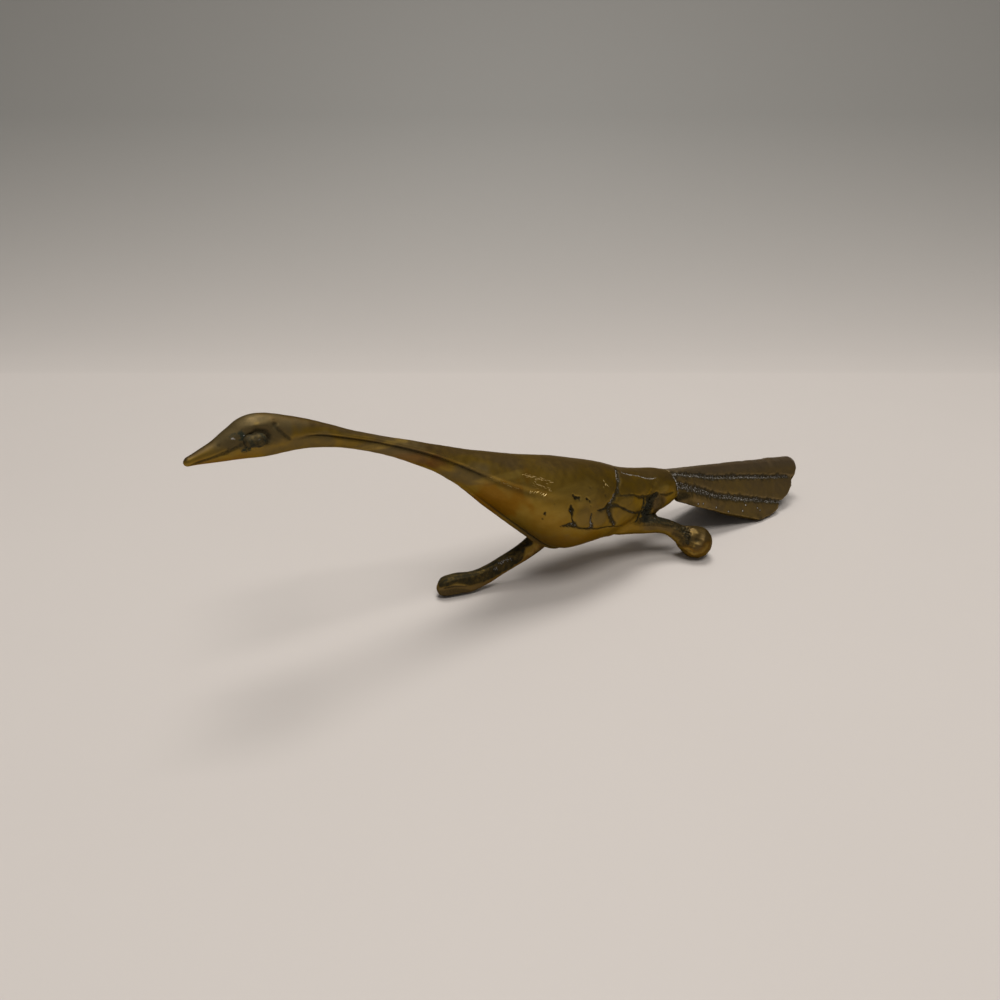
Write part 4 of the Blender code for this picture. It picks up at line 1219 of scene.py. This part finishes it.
def crust_tree(material):
    """Geometry nodes that scatter small grains along the lines of a mesh."""
    tree = bpy.data.node_groups.new("crust_along_lines", "GeometryNodeTree")
    face = tree.interface
    face.new_socket("Geometry", in_out="INPUT", socket_type="NodeSocketGeometry")
    for name in ("Spacing", "Grain", "Spread", "Bare"):
        face.new_socket(name, in_out="INPUT", socket_type="NodeSocketFloat")
    face.new_socket("Seed", in_out="INPUT", socket_type="NodeSocketInt")
    face.new_socket("Geometry", in_out="OUTPUT", socket_type="NodeSocketGeometry")
    given = add_node(tree, "NodeGroupInput").outputs
    curve = add_node(tree, "GeometryNodeMeshToCurve", None, {"Mesh": given["Geometry"]})
    points = add_node(tree, "GeometryNodeResampleCurve", {"mode": "LENGTH"},
                      {"Curve": curve.outputs[0], "Length": given["Spacing"]})
    aside = random_scale(tree, (-1, -1, -0.3), (1, 1, 0.3), given["Seed"])
    spread = add_node(tree, "ShaderNodeVectorMath", {"operation": "SCALE"},
                      {"Vector": aside, "Scale": given["Spread"]})
    placed = add_node(tree, "GeometryNodeSetPosition", None,
                      {"Geometry": points.outputs[0], "Offset": spread.outputs[0]})
    patches = add_node(tree, "ShaderNodeTexNoise", None, {"Scale": PATCHES_A_METRE, "Detail": 2.0})
    kept = add_node(tree, "FunctionNodeCompare", None, {"A": patches.outputs[0], "B": given["Bare"]})
    grain = add_node(tree, "GeometryNodeMeshIcoSphere", None, {"Radius": given["Grain"], "Subdivisions": 1})
    size = random_scale(tree, (0.35, 0.35, 0.3), (1.5, 1.2, 0.8), given["Seed"])
    turn = random_scale(tree, (0, 0, 0), (math.tau, math.tau, math.tau), given["Seed"])
    grains = add_node(tree, "GeometryNodeInstanceOnPoints", None,
                      {"Points": placed.outputs[0], "Selection": kept.outputs[0],
                       "Instance": grain.outputs[0], "Rotation": turn, "Scale": size})
    real = add_node(tree, "GeometryNodeRealizeInstances", None, {"Geometry": grains.outputs[0]})
    painted = add_node(tree, "GeometryNodeSetMaterial", None,
                       {"Geometry": real.outputs[0], "Material": material})
    add_node(tree, "NodeGroupOutput", None, {"Geometry": painted.outputs[0]})


def crust_piece(name, lines, piece, sizes):
    """Grains of dried polish along lines that are first laid into a carved piece's grooves."""
    surface = mesh_surface(piece.data)
    spots = []
    edges = []
    for line in lines:
        start = len(spots)
        for spot in to_world(line):
            foot, normal = surface.find_nearest(Vector(spot))[:2]
            spots.append(foot - normal * 0.25 * sizes.crust_grain)
        edges += [(index, index + 1) for index in range(start, len(spots) - 1)]
    guide = bpy.data.meshes.new(name + "_guide")
    guide.from_pydata(spots, edges, [])
    draft = add_object(name + "_guide", guide)
    modifier = draft.modifiers.new("crust", "NODES")
    modifier.node_group = bpy.data.node_groups["crust_along_lines"]
    values = {"Spacing": sizes.crust_spacing, "Grain": sizes.crust_grain,
              "Spread": 2.8 * sizes.crust_grain, "Bare": sizes.crust_bare, "Seed": sizes.crust_seed}
    for item in modifier.node_group.interface.items_tree:
        if item.in_out == "INPUT" and item.name in values:
            modifier[item.identifier] = values[item.name]
    finished = bake(draft)
    finished.name = name
    return settle(name, finished, bpy.data.materials["dried_polish"], ())


class FIGURINE_OT_body(Operator):
    """Carve the two half castings of head, neck and body"""

    bl_idname = "figurine.body"
    bl_label = "Carve the body"

    def execute(self, context):
        sizes = context.scene.figurine_sizes
        colours = context.scene.figurine_colours
        form = BodyForm()
        brass = old_brass("old_brass", colours, 0.08)
        filed = filed_brass("filed_brass", colours)
        crust_tree(dried_polish("dried_polish", colours))
        others = [(mesh_surface(leg_blank(form)), sizes.leg_blend / MM),
                  (mesh_surface(refined_mesh("front_leg")), sizes.leg_blend / MM),
                  (mesh_surface(refined_mesh("tail_fan")), sizes.tail_blend / MM)]
        for side, name in ((LEFT, "left"), (RIGHT, "right")):
            piece = half_casting(name + "_half_casting", side, form, others, brass, sizes)
            lines = [form.line_on_side(flat, side)[0]
                     for flat, _, _, crusted in CARVED_LINES.values() if crusted > 0.5]
            crust_piece(name + "_rump_crust", lines, piece, sizes)
            raise_burrs(name + "_file_marks", side, form, mesh_surface(piece.data), filed)
        return {"FINISHED"}


class FIGURINE_OT_legs(Operator):
    """Shape the straight front leg and the trailing leg with its round foot"""

    bl_idname = "figurine.legs"
    bl_label = "Shape the legs"

    def execute(self, context):
        brass = bpy.data.materials["old_brass"]
        form = BodyForm()
        front_leg_casting(form, brass, context.scene.figurine_sizes)
        rear_leg_casting(form, brass, context.scene.figurine_sizes)
        return {"FINISHED"}


class FIGURINE_OT_tail(Operator):
    """Groove the tail's five feathers and crust their grooves"""

    bl_idname = "figurine.tail"
    bl_label = "Groove the tail"

    def execute(self, context):
        sizes = context.scene.figurine_sizes
        brass = old_brass("browned_brass", context.scene.figurine_colours, 1.0)
        piece, lines = tail_casting(BodyForm(), brass, sizes)
        crust_piece("tail_crust", lines, piece, sizes)
        return {"FINISHED"}


class FIGURINE_OT_eyes(Operator):
    """Roughen the two corroded eyes"""

    bl_idname = "figurine.eyes"
    bl_label = "Set the eyes"

    def execute(self, context):
        for node in ("left_eye", "right_eye"):
            eye_casting(node, bpy.data.materials["old_brass"])
        return {"FINISHED"}


class FIGURINE_OT_dowels(Operator):
    """Finish the two hidden dowels"""

    bl_idname = "figurine.dowels"
    bl_label = "Finish the dowels"

    def execute(self, context):
        brass = turned_brass("turned_brass", context.scene.figurine_colours)
        for name in ("breast_dowel", "rump_dowel"):
            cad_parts[name].material_slots[0].material = brass
        return {"FINISHED"}


def lay_floor(sizes, colour, shaded_wall):
    """Floor that sweeps up into a backdrop, square to the camera's heading."""
    heading = Vector((math.sin(sizes.camera_turn), math.cos(sizes.camera_turn), 0.0))
    beside = Vector((heading.y, -heading.x, 0.0))
    foot = Vector((BILL_TIP + sizes.camera_back, MIDDLE + sizes.camera_aside, 0.0))
    bend = [math.radians(angle) for angle in range(0, 91, 5)]
    profile = [(FLOOR_NEAR, 0.0)]
    profile += [(FLOOR_TURN + FLOOR_RADIUS * math.sin(angle), FLOOR_RADIUS * (1 - math.cos(angle)))
                for angle in bend]
    profile.append((FLOOR_TURN + FLOOR_RADIUS, FLOOR_TOP))
    spots = [foot + heading * ahead + beside * aside + Vector((0, 0, up))
             for ahead, up in profile for aside in (-FLOOR_SIDE, FLOOR_SIDE)]
    faces = [(row, row + 1, row + 3, row + 2) for row in range(0, len(spots) - 2, 2)]
    mesh = bpy.data.meshes.new("floor")
    mesh.from_pydata(spots, [], faces)
    mesh.shade_smooth()
    mesh.materials.append(stage_surface("pale_board", colour, shaded_wall))
    floor = add_object("floor", mesh)


def hang_lamp(name, towards, distance, size, power, warmth):
    """Soft square lamp that shines on the bird from one direction."""
    light = bpy.data.lights.new(name, "AREA")
    light.shape = "SQUARE"
    light.size = size
    light.energy = power
    light.color = warmth
    lamp = add_object(name, light)
    way = Vector(towards).normalized()
    lamp.location = way * distance
    lamp.rotation_euler = way.to_track_quat("Z", "Y").to_euler()


def light_world():
    """Even dim light from all round."""
    world = bpy.data.worlds.new("room")
    world.use_nodes = True
    background = world.node_tree.nodes["Background"]
    background.inputs["Color"].default_value = (*ROOM_COLOUR, 1.0)
    background.inputs["Strength"].default_value = ROOM_STRENGTH
    bpy.context.scene.world = world


def place_camera(sizes):
    """Camera at the photograph's viewing angle."""
    data = bpy.data.cameras.new("camera")
    data.lens = sizes.lens
    data.sensor_width = 36.0
    data.clip_start = 0.01
    camera = add_object("camera", data)
    camera.location = (BILL_TIP + sizes.camera_back, MIDDLE + sizes.camera_aside, sizes.camera_height)
    camera.rotation_euler = (math.pi / 2 - sizes.camera_dip, 0.0, -sizes.camera_turn)
    bpy.context.scene.camera = camera


class FIGURINE_OT_stage(Operator):
    """Lay the pale floor, hang the soft lamps and place the camera"""

    bl_idname = "figurine.stage"
    bl_label = "Set the stage"

    def execute(self, context):
        scene = context.scene
        colours = scene.figurine_colours
        lay_floor(scene.figurine_sizes, tuple(colours.floor), tuple(colours.shaded_wall))
        for lamp in LAMPS:
            hang_lamp(*lamp)
        light_world()
        place_camera(scene.figurine_sizes)
        scene.view_settings.view_transform = "Standard"
        return {"FINISHED"}


class FIGURINE_PT_panel(Panel):
    """Steps and settings of the figurine"""

    bl_idname = "FIGURINE_PT_panel"
    bl_label = "Roadrunner figurine"
    bl_space_type = "VIEW_3D"
    bl_region_type = "UI"
    bl_category = "Roadrunner"

    def draw(self, context):
        layout = self.layout
        for step in STEPS:
            layout.operator(step.bl_idname)
        for group in (context.scene.figurine_sizes, context.scene.figurine_colours):
            for name in group.__annotations__:
                layout.prop(group, name)


STEPS = (FIGURINE_OT_body, FIGURINE_OT_legs, FIGURINE_OT_tail, FIGURINE_OT_eyes, FIGURINE_OT_dowels,
         FIGURINE_OT_stage)
CLASSES = (FigurineSizes, FigurineColours, *STEPS, FIGURINE_PT_panel)


def register():
    """Register the classes and the scene's two groups of settings."""
    for each in CLASSES:
        bpy.utils.register_class(each)
    bpy.types.Scene.figurine_sizes = PointerProperty(type=FigurineSizes)
    bpy.types.Scene.figurine_colours = PointerProperty(type=FigurineColours)


def unregister():
    """Undo what register did."""
    del bpy.types.Scene.figurine_colours
    del bpy.types.Scene.figurine_sizes
    for each in reversed(CLASSES):
        bpy.utils.unregister_class(each)


def main():
    """Run every step in order."""
    register()
    bpy.ops.figurine.body()
    bpy.ops.figurine.legs()
    bpy.ops.figurine.tail()
    bpy.ops.figurine.eyes()
    bpy.ops.figurine.dowels()
    bpy.ops.figurine.stage()


if __name__ == "__main__":
    main()
